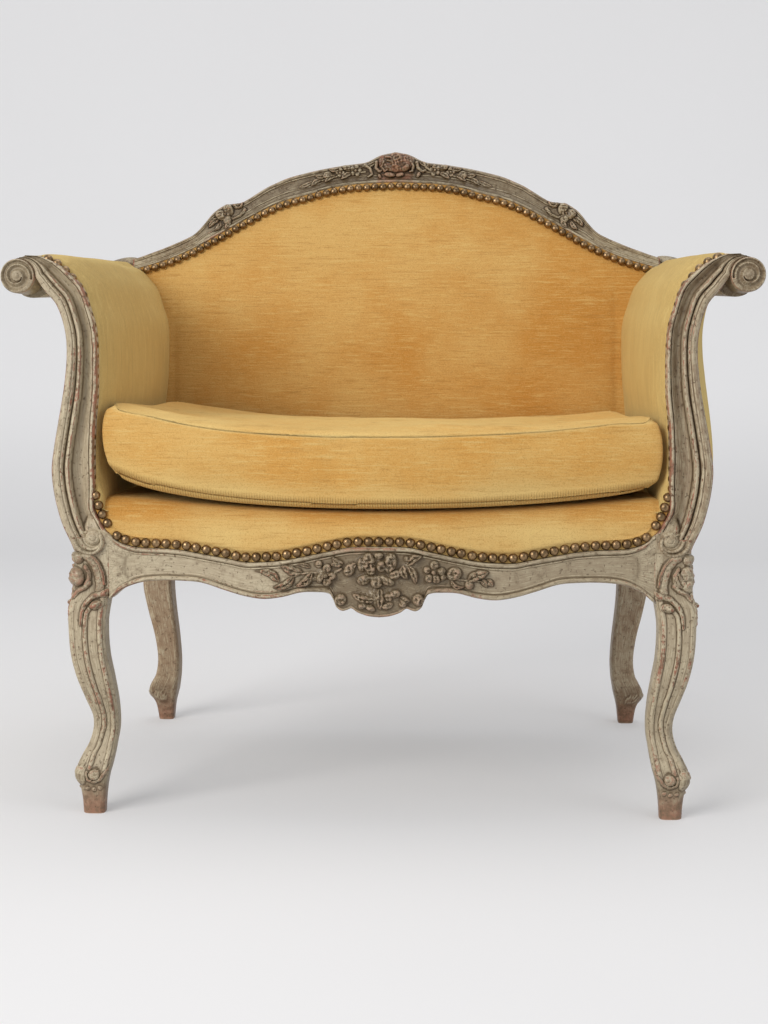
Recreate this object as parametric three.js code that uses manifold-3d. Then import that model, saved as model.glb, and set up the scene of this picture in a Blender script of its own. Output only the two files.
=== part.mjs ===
// A wide bergere (a "marquise") in the Louis XV manner: a carved and painted beech frame with cabriole
// legs, closed upholstered arms that roll outwards into volutes, an arched crest rail, a webbed and
// stuffed seat, back and arms closed by domed nails, and one loose seat cushion.
// Millimetres. +X is the right-hand side as seen from the front, +Y runs to the back, +Z is up.
// While the pieces are made, y is measured from the front face of the leg blocks. Pieces that come in
// pairs are made on the right and mirrored to the left.
import * as THREE from "three";
import { mergeVertices } from "three/addons/utils/BufferGeometryUtils.js";
import Module from "manifold-3d";

const wasm = await Module();
wasm.setup();

// Overall sizes
const overallWidth = 952; // across the volutes of the arms
const armOverhang = 76; // the volutes stand this far outside the leg blocks
const seatWidth = overallWidth - 2 * armOverhang;
const seatDepth = 550; // front face of the leg blocks to the back of the rear seat rail
const crestHeight = 916; // top of the crest rail at its centre
const armHeight = 718; // top of the arms at their front
const armRise = 22; // the arms' tops climb this much to the back
const armSplay = 10; // the arms' insides open this much to the back
const legHeight = 345; // floor to the top of the front leg blocks
const railRise = 33; // the seat rails stand this far above the leg blocks
const seatRailTop = legHeight + railRise;
const deckRise = 35; // top of the stuffed deck at its sides, above the seat rails
const deckHeight = seatRailTop + deckRise;
const deckSag = 16; // the deck's middle lies this much lower
const fit = 0.3; // gap between two pieces that touch

// Front legs
const legBlock = 55; // side of the square block at the top of a front leg
const legCornerShare = 0.24; // rounding of a leg's corners, of its width
// Height of the leg, then how far the outer and the inner face stand outside the block, of its side
const frontLegShares = [
  [0, -0.218, -0.727],
  [0.058, -0.2, -0.755],
  [0.104, -0.145, -0.8],
  [0.145, -0.027, -0.855],
  [0.174, -0.055, -0.909],
  [0.22, -0.2, -0.982],
  [0.261, -0.364, -1.036],
  [0.313, -0.464, -1.091],
  [0.365, -0.455, -1.109],
  [0.438, -0.355, -1.091],
  [0.522, -0.182, -1.036],
  [0.612, -0.045, -0.964],
  [0.725, 0.036, -0.945],
  [0.8, 0.036, -0.98],
  [0.87, 0, -1],
  [1, 0, -1],
];

// Rear legs, each one piece with the back stile above it
const postWidth = 45; // side to side, at the seat rail
const postDepth = 45; // front to back, at the seat rail
const rearFootSweep = 38; // how far the rear feet stand behind the seat rail
const sideRailDepth = 78; // of the side and rear rails, and so of the posts' square part below the seat
const postBlockLow = seatRailTop - sideRailDepth;
const postBlockRise = 54; // the square part ends this far above the seat rails, where the stile leans
const postBlockHigh = seatRailTop + postBlockRise;
// Height of the leg, then its outer and inner face outside the seat's side, of the post's width
const rearLegShares = [
  [0, -0.27, -0.8],
  [0.09, -0.18, -0.87],
  [0.147, -0.01, -0.955],
  [0.167, 0.03, -0.99],
  [0.21, -0.07, -1.044],
  [0.263, -0.27, -1.11],
  [0.357, -0.38, -1.167],
  [0.483, -0.31, -1.133],
  [0.64, -0.09, -1.033],
  [0.763, 0.03, -0.99],
  [1, 0, -1],
];
// Height of the leg, then its rear and front face behind the seat rail's back, of the foot's sweep
const rearSweepShares = [
  [0, 1, 0.33],
  [0.09, 1, 0.18],
  [0.147, 1.08, -0.03],
  [0.167, 1.08, -0.1],
  [0.21, 0.97, -0.24],
  [0.263, 0.74, -0.37],
  [0.357, 0.42, -0.55],
  [0.483, 0.26, -0.74],
  [0.64, 0.18, -0.92],
  [0.763, 0.1, -1.05],
  [1, 0, -1.18],
];

// Seat rails
const railThickness = 35; // side and rear rails
const railDepth = 112; // the front rail's depth at the pendant in its middle
const frontRailThickness = 38; // behind the front face of the leg blocks
const frontBow = 26; // the front rail stands this far forward in its middle
const rebateDepth = 10; // the cover is nailed into a rebate this deep
const railBevel = 3;
const deckRoll = 30; // the deck's front edge rounds over this depth
const deckBulge = 4; // and bellies this far in front of its nails
// Along the half rail, then down from the seat rails' top, of the front rail's depth
const railLowerShares = [
  [0, 1],
  [0.04, 0.986],
  [0.078, 0.946],
  [0.1, 0.902],
  [0.117, 0.92],
  [0.136, 0.929],
  [0.156, 0.884],
  [0.165, 0.813],
  [0.18, 0.741],
  [0.232, 0.723],
  [0.287, 0.732],
  [0.354, 0.786],
  [0.423, 0.813],
  [0.493, 0.786],
  [0.568, 0.723],
  [0.655, 0.643],
  [0.733, 0.625],
  [0.806, 0.625],
  [0.87, 0.643],
  [0.922, 0.688],
  [0.962, 0.75],
  [1, 0.85],
];
const railUpperShares = [
  [0, 0.205],
  [0.104, 0.214],
  [0.186, 0.263],
  [0.284, 0.33],
  [0.362, 0.375],
  [0.43, 0.393],
  [0.493, 0.397],
  [0.55, 0.366],
  [0.655, 0.3125],
  [0.725, 0.277],
  [0.803, 0.259],
  [0.87, 0.254],
  [0.91, 0.241],
  [0.965, 0.183],
  [1, 0.085],
];

// Arm facings, the moulded boards that carry the volutes
const facingThickness = 48; // front to back
const facingLip = 5; // depth of the show-wood edge in front of the nailed cover
const nailLand = 8; // width of the rebate behind that edge, where the cover is nailed
const landEndShare = 0.88; // the rebate runs out above this share of the inner outline
const facingWidth = 50; // unit for the outline below
const facingBevel = 3;
const voluteRadius = 21.5;
const voluteProud = 6; // the volute's disc stands this far in front of the facing
// The disc's outline, of the radius and of how far it is proud
const voluteShares = [
  [0, -0.8],
  [0.83, -0.8],
  [0.83, 0],
  [0.76, 0.5],
  [0.62, 0.1],
  [0.44, 0.1],
  [0.34, 1],
  [0, 1],
];
const voluteTurnShares = [1.02, 2.44]; // the volute's outline starts and ends here, of half a turn
const neckShare = 0.5; // the top edge leaves the volute this far in from its centre, of its radius
const curlRadius = 9.5; // small volute at the facing's foot
// Up the arm, then out from the seat's side, of the facing's width
const facingOuterShares = [
  [0, -0.2],
  [0.027, -0.12],
  [0.086, 0.08],
  [0.139, 0.2],
  [0.206, 0.3],
  [0.276, 0.34],
  [0.343, 0.28],
  [0.445, 0.14],
  [0.515, 0.04],
  [0.582, -0.04],
  [0.67, -0.1],
  [0.751, -0.06],
  [0.834, 0.14],
  [0.879, 0.42],
];
const facingInnerShares = [
  [0.062, -1.094],
  [0.075, -1.0],
  [0.105, -0.88],
  [0.142, -0.74],
  [0.196, -0.7],
  [0.249, -0.68],
  [0.343, -0.68],
  [0.448, -0.72],
  [0.523, -0.78],
  [0.59, -0.8],
  [0.684, -0.8],
  [0.759, -0.76],
  [0.818, -0.64],
  [0.885, -0.48],
  [0.93, -0.22],
  [0.968, 0.08],
  [0.986, 0.32],
  [0.9985, 0.56],
];

// Arm top rails and the shoulders that turn them into the back
const rollWidth = 57; // the rolled top rail, side to side
const rollHeight = 52;
const shoulderReach = 62; // how far the shoulder runs forward of the back
const shoulderThickness = 22; // height of the shoulder where it meets the crest rail

// Back
const backRakeShare = 0.17; // backwards lean, of the height
const padThickness = 26;
const webThickness = 2;
const hessianThickness = 1;
const stileThickness = 34;
const coverThickness = 3;
const crestOverhang = 18; // the crest rail's joint with a shoulder lies this far outside the seat's side
const crestLift = 12; // lower edge of the crest rail at that joint, above the arms' front
const crestEnd = armHeight + crestLift;
const crestDepth = 44; // height of the crest rail itself, at the knot in its middle
const crestRise = crestHeight - crestDepth - crestEnd;
const crestProud = 4; // the crest's face lies this far behind the face of the stuffing
const crestBevel = 5;
const tackLip = 20; // depth of the crest's tacking edge behind the stuffing
const stileDrop = 30; // the stiles end this far below the crest rail's ends
const stileTop = crestEnd - stileDrop;
// Along the half crest, then its lower edge above its joint with a shoulder, of its rise
const crestLowerShares = [
  [0, 1],
  [0.144, 0.979],
  [0.237, 0.937],
  [0.33, 0.856],
  [0.421, 0.779],
  [0.486, 0.694],
  [0.577, 0.546],
  [0.67, 0.387],
  [0.763, 0.239],
  [0.856, 0.12],
  [0.95, 0.035],
  [1, 0],
];
// Along the half crest, then its height there, of the height at the knot
const crestDepthShares = [
  [0, 1],
  [0.053, 0.946],
  [0.108, 0.719],
  [0.15, 0.68],
  [0.191, 0.683],
  [0.24, 0.694],
  [0.287, 0.739],
  [0.325, 0.772],
  [0.359, 0.782],
  [0.407, 0.784],
  [0.45, 0.77],
  [0.486, 0.774],
  [0.526, 0.748],
  [0.56, 0.725],
  [0.591, 0.74],
  [0.62, 0.873],
  [0.648, 0.996],
  [0.675, 0.995],
  [0.699, 0.933],
  [0.735, 0.697],
  [0.766, 0.551],
  [0.81, 0.522],
  [0.847, 0.513],
  [0.9, 0.482],
  [0.94, 0.451],
  [1, 0.397],
];
// Up the stile, then its inner and its outer edge outside the seat's side, of the post's width
const stileShares = [
  [0, -1, 0],
  [0.22, -0.96, 0],
  [0.38, -0.92, 0.04],
  [0.565, -0.78, 0.18],
  [0.76, -0.62, 0.33],
  [0.94, -0.36, 0.53],
  [1, -0.26, 0.62],
];
const backRailRise = 68; // the lower back rail starts this far above the seat rails
const backRailHeight = 38;
const lowerBackRailLow = seatRailTop + backRailRise;
const lowerBackRailHigh = lowerBackRailLow + backRailHeight;
const padRise = 18; // the back's and the arms' stuffing start this far above the seat rails
const backPadLow = seatRailTop + padRise;
const backCrown = 17;

// Arm stuffing, tacking rails and outside covers
const armPadLow = seatRailTop + padRise;
const armPadDepth = 10; // the stuffing reaches this far outside the facing's inner outline
const armNailShares = [0.085, 0.89]; // the row of nails starts and ends here
const tackingShare = 0.3; // the tacking rail lies behind this share of the inner outline
const armCrown = 2;
const tackingRise = 16; // the tacking rail starts this far above the side seat rail
const tackingHeight = 34;
const armRailLow = seatRailTop + tackingRise;
const armRailHigh = armRailLow + tackingHeight;
const armRailThickness = 16;
const outerBulge = 32; // the outside covers belly this far out
const outerCoverRise = 4; // the covers start this far above the side seat rails
const outerCoverLow = seatRailTop + outerCoverRise;
const outerCoverInset = 4; // the covers start this far inside the facing's outer edge
const outerCoverHighShare = 0.875; // top of the outside cover, up the arm
const outerCoverTurnShare = 0.9; // above this share of its rows the cover turns out under the rolled rail
const outerCoverTuck = 10;

// Loose cushion
const cushionSideGap = 1.5; // from the narrowest place between the stuffed arms
const cushionBackGap = 12; // from the face of the back at the deck
const cushionOverhang = 2; // the cushion's front stands this far in front of the bowed rail
const boxingHeight = 88;
const boxingBelly = 5; // the boxing swells this far out between its seams
const cushionLift = 24; // the corners curl up this much
const cushionDrawIn = 6; // the middle of each side is drawn in this far between the corners
const cushionCorner = 15; // the corners are cut back by this much each way
const topCrown = 22;
const bottomCrown = 9;
// Round the cushion's section: out from the middle, of its half size; up, of the boxing; swell, of its belly
const cushionSectionShares = [
  [0.3, 0, 0],
  [0.6, 0, 0],
  [0.82, 0, 0],
  [0.95, 0, 0],
  [1, 0, 0],
  [1, 0.06, 0.7],
  [1, 0.5, 1],
  [1, 0.94, 0.7],
  [1, 1, 0],
  [0.95, 1, 0],
  [0.82, 1, 0],
  [0.6, 1, 0],
  [0.3, 1, 0],
];

// Joints
const tenonLength = 28;
const tenonThickness = 10;
const tenonHeight = 36;
const tenonDrop = 5; // from the top of the leg block to the tenon
const rearTenonLength = 17;
const shoulderInset = 12; // from a face of the block to the tenon's cheek
const pegRadius = 3.5;
const pegInset = 10; // from the joint's shoulder to its peg
const pegLength = 26;
const dowelRadius = 6;
const dowelLength = 50;
const slimDowelRadius = 4; // in the shoulders' thin ends
const slimDowelLength = 24;
const blockLeg = 62; // leg of the corner blocks
const blockHeight = 40;

// Webbing and nails
const webStrap = 60;
const webGap = 62;
const webInset = 6; // from a frame's edge to the end of a strap
const nailRadius = 5.9;
const nailPitch = 13;
const nailRise = 4;
const nailStandoff = 2; // the crest's nails clear the bellied stuffing by this much
const gimpWidthShare = 0.32; // the strip between two nail heads, of a head's radius

// Carving, worked in the solid of the rails and legs
const roseWidth = 56;
const roseHeight = 40;
const roseRise = 12;
const sprigWidth = 30;
const crestRoseWidth = 78;
const railRoseShare = 0.62; // height of the roses' centres on the rails' faces
const crestRoseShare = 0.6;

// How finely the curves are cut
const railSegmentsCount = 36;
const crestSegmentsCount = 36;
const outlineSegmentsCount = 24;
const voluteSegmentsCount = 12;
const rollSidesCount = 12;
const rollStepsCount = 4;
const shoulderSegmentsCount = 5;
const padColumnsCount = 18;
const padRowsCount = 10;
const clothRowsCount = 4;
const armColumnsCount = 14;
const armLengthsCount = 6;
const nailSidesCount = 4;
const rodSidesCount = 8;
const cushionSideStepsCount = 10;

const seatHalf = seatWidth / 2;
const railHalf = seatHalf - legBlock;
const crestHalf = seatHalf + crestOverhang;
const armSpan = armHeight - legHeight;
// From the face of the back's stuffing to the stiles
const frameOffset = padThickness + hessianThickness + webThickness + 3 * fit;
const coverOffset = frameOffset + stileThickness + fit;
const backThickness = coverOffset + coverThickness;
const deckBase = seatRailTop + webThickness + hessianThickness + 3 * fit;
const rollX = overallWidth / 2 - rollWidth / 2;
const voluteX = overallWidth / 2 - voluteRadius;
const rollZ = armHeight - rollHeight / 2;
const rollEndZ = rollZ + armRise;

// Shape helpers
const point = (x, y, z) => new THREE.Vector3(x, y, z);
const mix = THREE.MathUtils.lerp;
const steps = (count) => Array.from({ length: count + 1 }, (_, i) => i / count);

/** A smooth curve through rows of [position, value, ...], read at any position; column picks the value. */
function curveThrough(rows, column = 1) {
  const slope = (i) => {
    const a = rows[Math.max(i - 1, 0)];
    const b = rows[Math.min(i + 1, rows.length - 1)];
    return (b[column] - a[column]) / (b[0] - a[0]);
  };
  return (at) => {
    const t = THREE.MathUtils.clamp(at, rows[0][0], rows[rows.length - 1][0]);
    const i = Math.min(rows.findLastIndex((row) => row[0] <= t), rows.length - 2);
    const span = rows[i + 1][0] - rows[i][0];
    const k = (t - rows[i][0]) / span;
    const k2 = k * k;
    const k3 = k2 * k;
    return (
      (2 * k3 - 3 * k2 + 1) * rows[i][column] +
      (k3 - 2 * k2 + k) * span * slope(i) +
      (3 * k2 - 2 * k3) * rows[i + 1][column] +
      (k3 - k2) * span * slope(i + 1)
    );
  };
}

/** A closed geometry from vertices and triangles, turned so that its faces point out. */
function closedGeometry(points, triangles) {
  const volume = triangles.reduce((sum, [a, b, c]) => {
    return sum + points[a].dot(points[b].clone().cross(points[c]));
  }, 0);
  const index = triangles.flatMap(([a, b, c]) => (volume < 0 ? [a, c, b] : [a, b, c]));
  const geometry = new THREE.BufferGeometry();
  geometry.setAttribute("position", new THREE.Float32BufferAttribute(points.flatMap((p) => p.toArray()), 3));
  geometry.setIndex(index);
  return geometry;
}

/** Triangles over a nearly flat ring, as positions in the ring, all turned the ring's own way. */
function ringTriangles(ring) {
  const normal = new THREE.Vector3();
  const origin = ring[0];
  ring.forEach((p, i) => {
    const q = ring[(i + 1) % ring.length];
    normal.add(p.clone().sub(origin).cross(q.clone().sub(origin)));
  });
  const across = Math.abs(normal.z) > normal.length() / 2 ? point(1, 0, 0) : point(0, 0, 1);
  const u = across.cross(normal).normalize();
  const v = normal.clone().cross(u).normalize();
  const flat = ring.map((p) => new THREE.Vector2(p.dot(u), p.dot(v)));
  return THREE.ShapeUtils.triangulateShape(flat, []).map(([a, b, c]) => {
    const turn = flat[b].clone().sub(flat[a]).cross(flat[c].clone().sub(flat[a]));
    return turn < 0 ? [a, c, b] : [a, b, c];
  });
}

/** A closed skin over rings of equal count, with flat ends. */
function loft(rings) {
  const count = rings[0].length;
  const points = rings.flat();
  const triangles = [];
  for (let r = 0; r < rings.length - 1; r++) {
    for (let i = 0; i < count; i++) {
      const a = r * count + i;
      const b = r * count + ((i + 1) % count);
      triangles.push([a, b, b + count], [a, b + count, a + count]);
    }
  }
  const last = (rings.length - 1) * count;
  ringTriangles(rings[0]).forEach(([a, b, c]) => triangles.push([a, c, b]));
  ringTriangles(rings.at(-1)).forEach(([a, b, c]) => triangles.push([last + a, last + b, last + c]));
  return closedGeometry(points, triangles);
}

/** A closed pad over a grid of u and v, where place(u, v, deep) gives its face and, when deep, its back. */
function slab(place, columns, rows) {
  const [us, vs] = [steps(columns), steps(rows)];
  const points = [];
  const triangles = [];
  const row = columns + 1;
  const sheet = row * (rows + 1);
  [false, true].forEach((deep) => {
    vs.forEach((v) => us.forEach((u) => points.push(place(u, v, deep))));
  });
  for (let j = 0; j < rows; j++) {
    for (let i = 0; i < columns; i++) {
      const a = j * row + i;
      triangles.push([a, a + 1, a + row + 1], [a, a + row + 1, a + row]);
      const b = a + sheet;
      triangles.push([b, b + row + 1, b + 1], [b, b + row, b + row + 1]);
    }
  }
  const edge = [];
  for (let i = 0; i < columns; i++) edge.push([i + 1, i], [rows * row + i, rows * row + i + 1]);
  for (let j = 0; j < rows; j++) {
    const [a, b] = [j * row, (j + 1) * row];
    edge.push([a, b], [b + columns, a + columns]);
  }
  edge.forEach(([a, b]) => triangles.push([a, b, b + sheet], [a, b + sheet, a + sheet]));
  return closedGeometry(points, triangles);
}

/** A flat outline of [x, z] pairs pulled in by a distance. */
function inset(outline, distance) {
  const turn = Math.sign(THREE.ShapeUtils.area(outline.map(([x, z]) => new THREE.Vector2(x, z))));
  return outline.map(([x, z], i) => {
    const [ax, az] = outline[(i + outline.length - 1) % outline.length];
    const [bx, bz] = outline[(i + 1) % outline.length];
    const along = new THREE.Vector2(bx - ax, bz - az).normalize();
    return [x - turn * along.y * distance, z + turn * along.x * distance];
  });
}

/** An upright board: layers of [y, pulled in] over one outline, with y bent by place(x, z). */
function board(outline, layers, place = () => 0) {
  const layer = ([y, pull]) => {
    const rim = pull ? inset(outline, pull) : outline;
    return rim.map(([x, z]) => point(x, y + place(x, z), z));
  };
  return loft(layers.map(layer));
}

/** A level plate over an outline of [x, y] pairs. */
const plate = (outline, low, high) => loft([low, high].map((z) => outline.map(([x, y]) => point(x, y, z))));

function box(x0, x1, y0, y1, z0, z1) {
  const geometry = new THREE.BoxGeometry(x1 - x0, y1 - y0, z1 - z0);
  return geometry.translate((x0 + x1) / 2, (y0 + y1) / 2, (z0 + z1) / 2);
}

const xAxis = point(1, 0, 0);
const yAxis = point(0, 1, 0);
const zAxis = point(0, 0, 1);
const forward = point(0, -1, 0);

/** A round rod along an axis, from a start point. */
function rod(radius, length, start, axis) {
  const geometry = new THREE.CylinderGeometry(radius, radius, length, rodSidesCount);
  const turn = new THREE.Quaternion().setFromUnitVectors(yAxis, axis);
  return geometry.translate(0, length / 2, 0).applyQuaternion(turn).translate(start.x, start.y, start.z);
}

/** A rod round a middle point, longer and thicker by a gap where it is a hole. */
function dowel(radius, length, middle, axis, gap) {
  const start = middle.clone().addScaledVector(axis, -length / 2 - gap);
  return rod(radius + gap, length + 2 * gap, start, axis);
}

function bare(geometry) {
  const copy = geometry.clone();
  const spare = Object.keys(copy.attributes).filter((name) => name !== "position");
  spare.forEach((name) => copy.deleteAttribute(name));
  return mergeVertices(copy);
}

function solidOf(geometry) {
  const merged = bare(geometry);
  return new wasm.Manifold(
    new wasm.Mesh({
      numProp: 3,
      vertProperties: merged.attributes.position.array,
      triVerts: new Uint32Array(merged.index.array),
    }),
  );
}

function geometryOf(solid) {
  const mesh = solid.getMesh();
  const geometry = new THREE.BufferGeometry();
  geometry.setAttribute("position", new THREE.BufferAttribute(mesh.vertProperties, mesh.numProp));
  return geometry.setIndex(new THREE.BufferAttribute(mesh.triVerts, 1));
}

/** One geometry with others joined to it and cut out of it. */
function worked(base, joined = [], cut = []) {
  const whole = joined.reduce((solid, g) => solid.add(solidOf(g)), solidOf(base));
  return geometryOf(cut.reduce((solid, g) => solid.subtract(solidOf(g)), whole));
}

const clipped = (base, region) => geometryOf(solidOf(base).intersect(solidOf(region)));

/** The same piece on the chair's other side, its faces still pointing out. */
function mirrored(geometry) {
  const turned = bare(geometry).scale(-1, 1, 1);
  for (let i = 0; i < turned.index.count; i += 3) {
    const a = turned.index.getX(i);
    turned.index.setX(i, turned.index.getX(i + 1));
    turned.index.setX(i + 1, a);
  }
  return turned;
}

const onBothSides = (pieces) => [...pieces, ...pieces.map(mirrored)];

// Lines that the pieces share
const railUpper = curveThrough(railUpperShares);
const railLower = curveThrough(railLowerShares);
const railUpperZ = (x) => seatRailTop - railDepth * railUpper(Math.abs(x) / railHalf);
const railLowerZ = (x) => seatRailTop - railDepth * railLower(Math.abs(x) / railHalf);
const bowY = (x) => (-frontBow / 2) * (1 + Math.cos(Math.PI * Math.min(Math.abs(x) / railHalf, 1)));
const crestLower = curveThrough(crestLowerShares);
const crestDepthAt = curveThrough(crestDepthShares);
const crestLowerZ = (x) => crestEnd + crestRise * crestLower(Math.abs(x) / crestHalf);
const crestUpperZ = (x) => crestLowerZ(x) + crestDepth * crestDepthAt(Math.abs(x) / crestHalf);
// The face of the back's stuffing; the stiles' rear faces start at the rear face of the seat rail.
const backY = (z) => seatDepth - frameOffset - stileThickness + backRakeShare * (z - seatRailTop);
const stileInner = curveThrough(stileShares, 1);
const stileOuter = curveThrough(stileShares, 2);
const stileShareAt = (z) => (z - seatRailTop) / (stileTop - seatRailTop);
const stileInnerX = (z) => seatHalf + postWidth * stileInner(stileShareAt(z));
const stileOuterX = (z) => seatHalf + postWidth * stileOuter(stileShareAt(z));
const stileLow = postBlockHigh + postDepth / 4;
const facingOuter = curveThrough(facingOuterShares);
const facingOuterX = (z) => seatHalf + facingWidth * facingOuter((z - legHeight) / armSpan);
const railStations = steps(railSegmentsCount).map((k) => mix(-1, 1, k) * (railHalf - fit));
const deckZ = (x) => deckHeight - deckSag * (1 - (x / railHalf) ** 2);
const rollEndY = backY(rollEndZ) - shoulderReach / 3;

// The facing's inner outline, carried back along the arm: s from its foot to its top, y from front to back
const armAcross = curveThrough(facingInnerShares.map(([up, out], i) => [i, out]));
const armUp = curveThrough(facingInnerShares.map(([up], i) => [i, up]));
const armRows = facingInnerShares.length - 1;
const armReach = backY(armHeight);

/** A place on the inside of the arm, as [x, z], pushed inwards over the seat by a depth. */
function armInside(s, y, depth = 0) {
  const at = (share) => {
    const up = armUp(share * armRows);
    const splay = ((armSplay * y) / armReach) * Math.sin(Math.PI * share);
    const x = seatHalf + facingWidth * armAcross(share * armRows) + splay;
    return [x, legHeight + up * (armSpan + (armRise * y) / armReach)];
  };
  const [x, z] = at(s);
  if (!depth) return [x, z];
  const nudge = 1 / armRows / 4;
  const [ax, az] = at(Math.max(s - nudge, 0));
  const [bx, bz] = at(Math.min(s + nudge, 1));
  const along = new THREE.Vector2(bx - ax, bz - az).normalize();
  return [x - along.y * depth, z + along.x * depth];
}

/** Width of the facing's nailing rebate, which runs out towards the top of the arm. */
const landAt = (s) => nailLand * THREE.MathUtils.smoothstep(1 - s, 0, 1 - landEndShare);

// Materials
function finish(color, roughness, metalness = 0) {
  return new THREE.MeshStandardMaterial({ color, roughness, metalness });
}

const paint = finish(0x8f8672, 0.6);
const beech = finish(0xb08a5c, 0.7);
const velvet = finish(0xc8963c, 0.85);
const jute = finish(0xa98f63, 0.95);
const brass = finish(0x7a5f42, 0.4, 0.9);

// Joints of the seat frame. Each is made as long as its piece, and grown by a gap where it is a mortise.
const tenonZ = legHeight - tenonDrop - tenonHeight;
const tenonX = seatHalf - shoulderInset - tenonThickness; // cheek of the side rails' tenons
const rearTenonY = seatDepth - shoulderInset - tenonThickness;
const backPegY = seatDepth - postDepth; // front face of the rear posts' blocks
const pegZ = tenonZ + tenonHeight / 2;
const pegRod = (x, y, axis, gap) => rod(pegRadius + gap, pegLength + gap, point(x, y, pegZ), axis);

const frontTenon = (gap) =>
  box(railHalf - tenonLength, railHalf + tenonLength + gap, shoulderInset - gap,
    shoulderInset + tenonThickness + gap, tenonZ - gap, tenonZ + tenonHeight + gap);
const sideFrontTenon = (gap) =>
  box(tenonX - gap, tenonX + tenonThickness + gap, legBlock - tenonLength - gap, legBlock + tenonLength,
    tenonZ - gap, tenonZ + tenonHeight + gap);
const sideRearTenon = (gap) =>
  box(tenonX - gap, tenonX + tenonThickness + gap, backPegY - tenonLength, backPegY + rearTenonLength + gap,
    tenonZ - gap, tenonZ + tenonHeight + gap);
const rearTenon = (gap) =>
  box(seatHalf - postWidth - tenonLength, seatHalf - postWidth + tenonLength + gap, rearTenonY - gap,
    rearTenonY + tenonThickness + gap, tenonZ - gap, tenonZ + tenonHeight + gap);
const frontPeg = (gap) => pegRod(railHalf + pegInset, 0, yAxis, gap);
const sideFrontPeg = (gap) => pegRod(seatHalf, legBlock - pegInset, xAxis.clone().negate(), gap);
const sideRearPeg = (gap) => pegRod(seatHalf, backPegY + pegInset, xAxis.clone().negate(), gap);
const rearPeg = (gap) => pegRod(seatHalf - postWidth + pegInset, seatDepth, yAxis.clone().negate(), gap);

// Dowels of the arms and the back
const facingDowel = (gap) =>
  dowel(dowelRadius, dowelLength, point(railHalf + legBlock / 3, (legBlock * 2) / 3, legHeight), zAxis, gap);
const rollDowel = (gap) => dowel(dowelRadius, dowelLength, point(rollX, facingThickness, rollZ), yAxis, gap);
const rollEndDowel = (gap) =>
  dowel(slimDowelRadius, slimDowelLength, point(rollX, rollEndY, rollEndZ), yAxis, gap);
const stileDowelX = (stileInnerX(stileTop) + crestHalf) / 2;
const stileDowel = (gap) =>
  dowel(slimDowelRadius, slimDowelLength,
    point(stileDowelX, backY(stileTop) + frameOffset + stileThickness / 2, stileTop), zAxis, gap);
const shoulderEnd = point(crestHalf + fit, backY(crestEnd) + crestProud + stileThickness,
  crestEnd + shoulderThickness / 2);
const shoulderDowel = (gap) =>
  dowel(slimDowelRadius, slimDowelLength, point(crestHalf, shoulderEnd.y, shoulderEnd.z), xAxis, gap);

/** A carved boss: a flattened ball, sunk a little behind a centre. */
function boss(width, depth, height, centre) {
  const ball = new THREE.SphereGeometry(1, rodSidesCount, rodSidesCount / 2);
  return ball.scale(width / 2, depth, height / 2).translate(centre.x, centre.y + depth / 4, centre.z);
}

const quarterTurns = [0, 1 / 2, 1];

/** A level ring of a squared leg with rounded corners. */
function legRing(x0, x1, y0, y1, z) {
  const r = legCornerShare * Math.min(x1 - x0, y1 - y0);
  const corners = [[x1 - r, y1 - r], [x0 + r, y1 - r], [x0 + r, y0 + r], [x1 - r, y0 + r]];
  return corners.flatMap(([x, y], quarter) =>
    quarterTurns.map((k) => {
      const angle = ((quarter + k) * Math.PI) / 2;
      return point(x + r * Math.cos(angle), y + r * Math.sin(angle), z);
    }),
  );
}

function frontLeg() {
  const rings = frontLegShares.map(([up, outShare, innerShare]) => {
    const [out, inner] = [outShare * legBlock, innerShare * legBlock];
    return legRing(seatHalf + inner, seatHalf + out, -out, -inner, up * legHeight);
  });
  const kneeMiddle = point(seatHalf - sprigWidth / 3, 0, legHeight - legBlock / 2);
  const knee = boss(sprigWidth, roseRise, roseHeight, kneeMiddle);
  const holes = [frontTenon(fit), sideFrontTenon(fit), frontPeg(fit), sideFrontPeg(fit), facingDowel(fit)];
  return worked(loft(rings), [knee], holes);
}

function rearPost() {
  const outer = curveThrough(rearLegShares, 1);
  const inner = curveThrough(rearLegShares, 2);
  const rear = curveThrough(rearSweepShares, 1);
  const front = curveThrough(rearSweepShares, 2);
  const leg = rearLegShares.map(([up]) => {
    const [x0, x1] = [seatHalf + inner(up) * postWidth, seatHalf + outer(up) * postWidth];
    const [y0, y1] = [seatDepth + front(up) * rearFootSweep, seatDepth + rear(up) * rearFootSweep];
    return legRing(x0, x1, y0, y1, up * postBlockLow);
  });
  const behind = (z) => backY(z) + frameOffset + stileThickness;
  const block = [seatRailTop, postBlockHigh].map((z) => {
    return legRing(seatHalf - postWidth, seatHalf, backPegY, behind(z), z);
  });
  const stile = stileShares.map(([share]) => {
    const z = mix(stileLow, stileTop, share);
    return legRing(stileInnerX(z), stileOuterX(z), behind(z) - stileThickness, behind(z), z);
  });
  return worked(loft([...leg, ...block, ...stile]), [],
    [sideRearTenon(fit), rearTenon(fit), sideRearPeg(fit), rearPeg(fit), stileDowel(fit)]);
}

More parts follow.
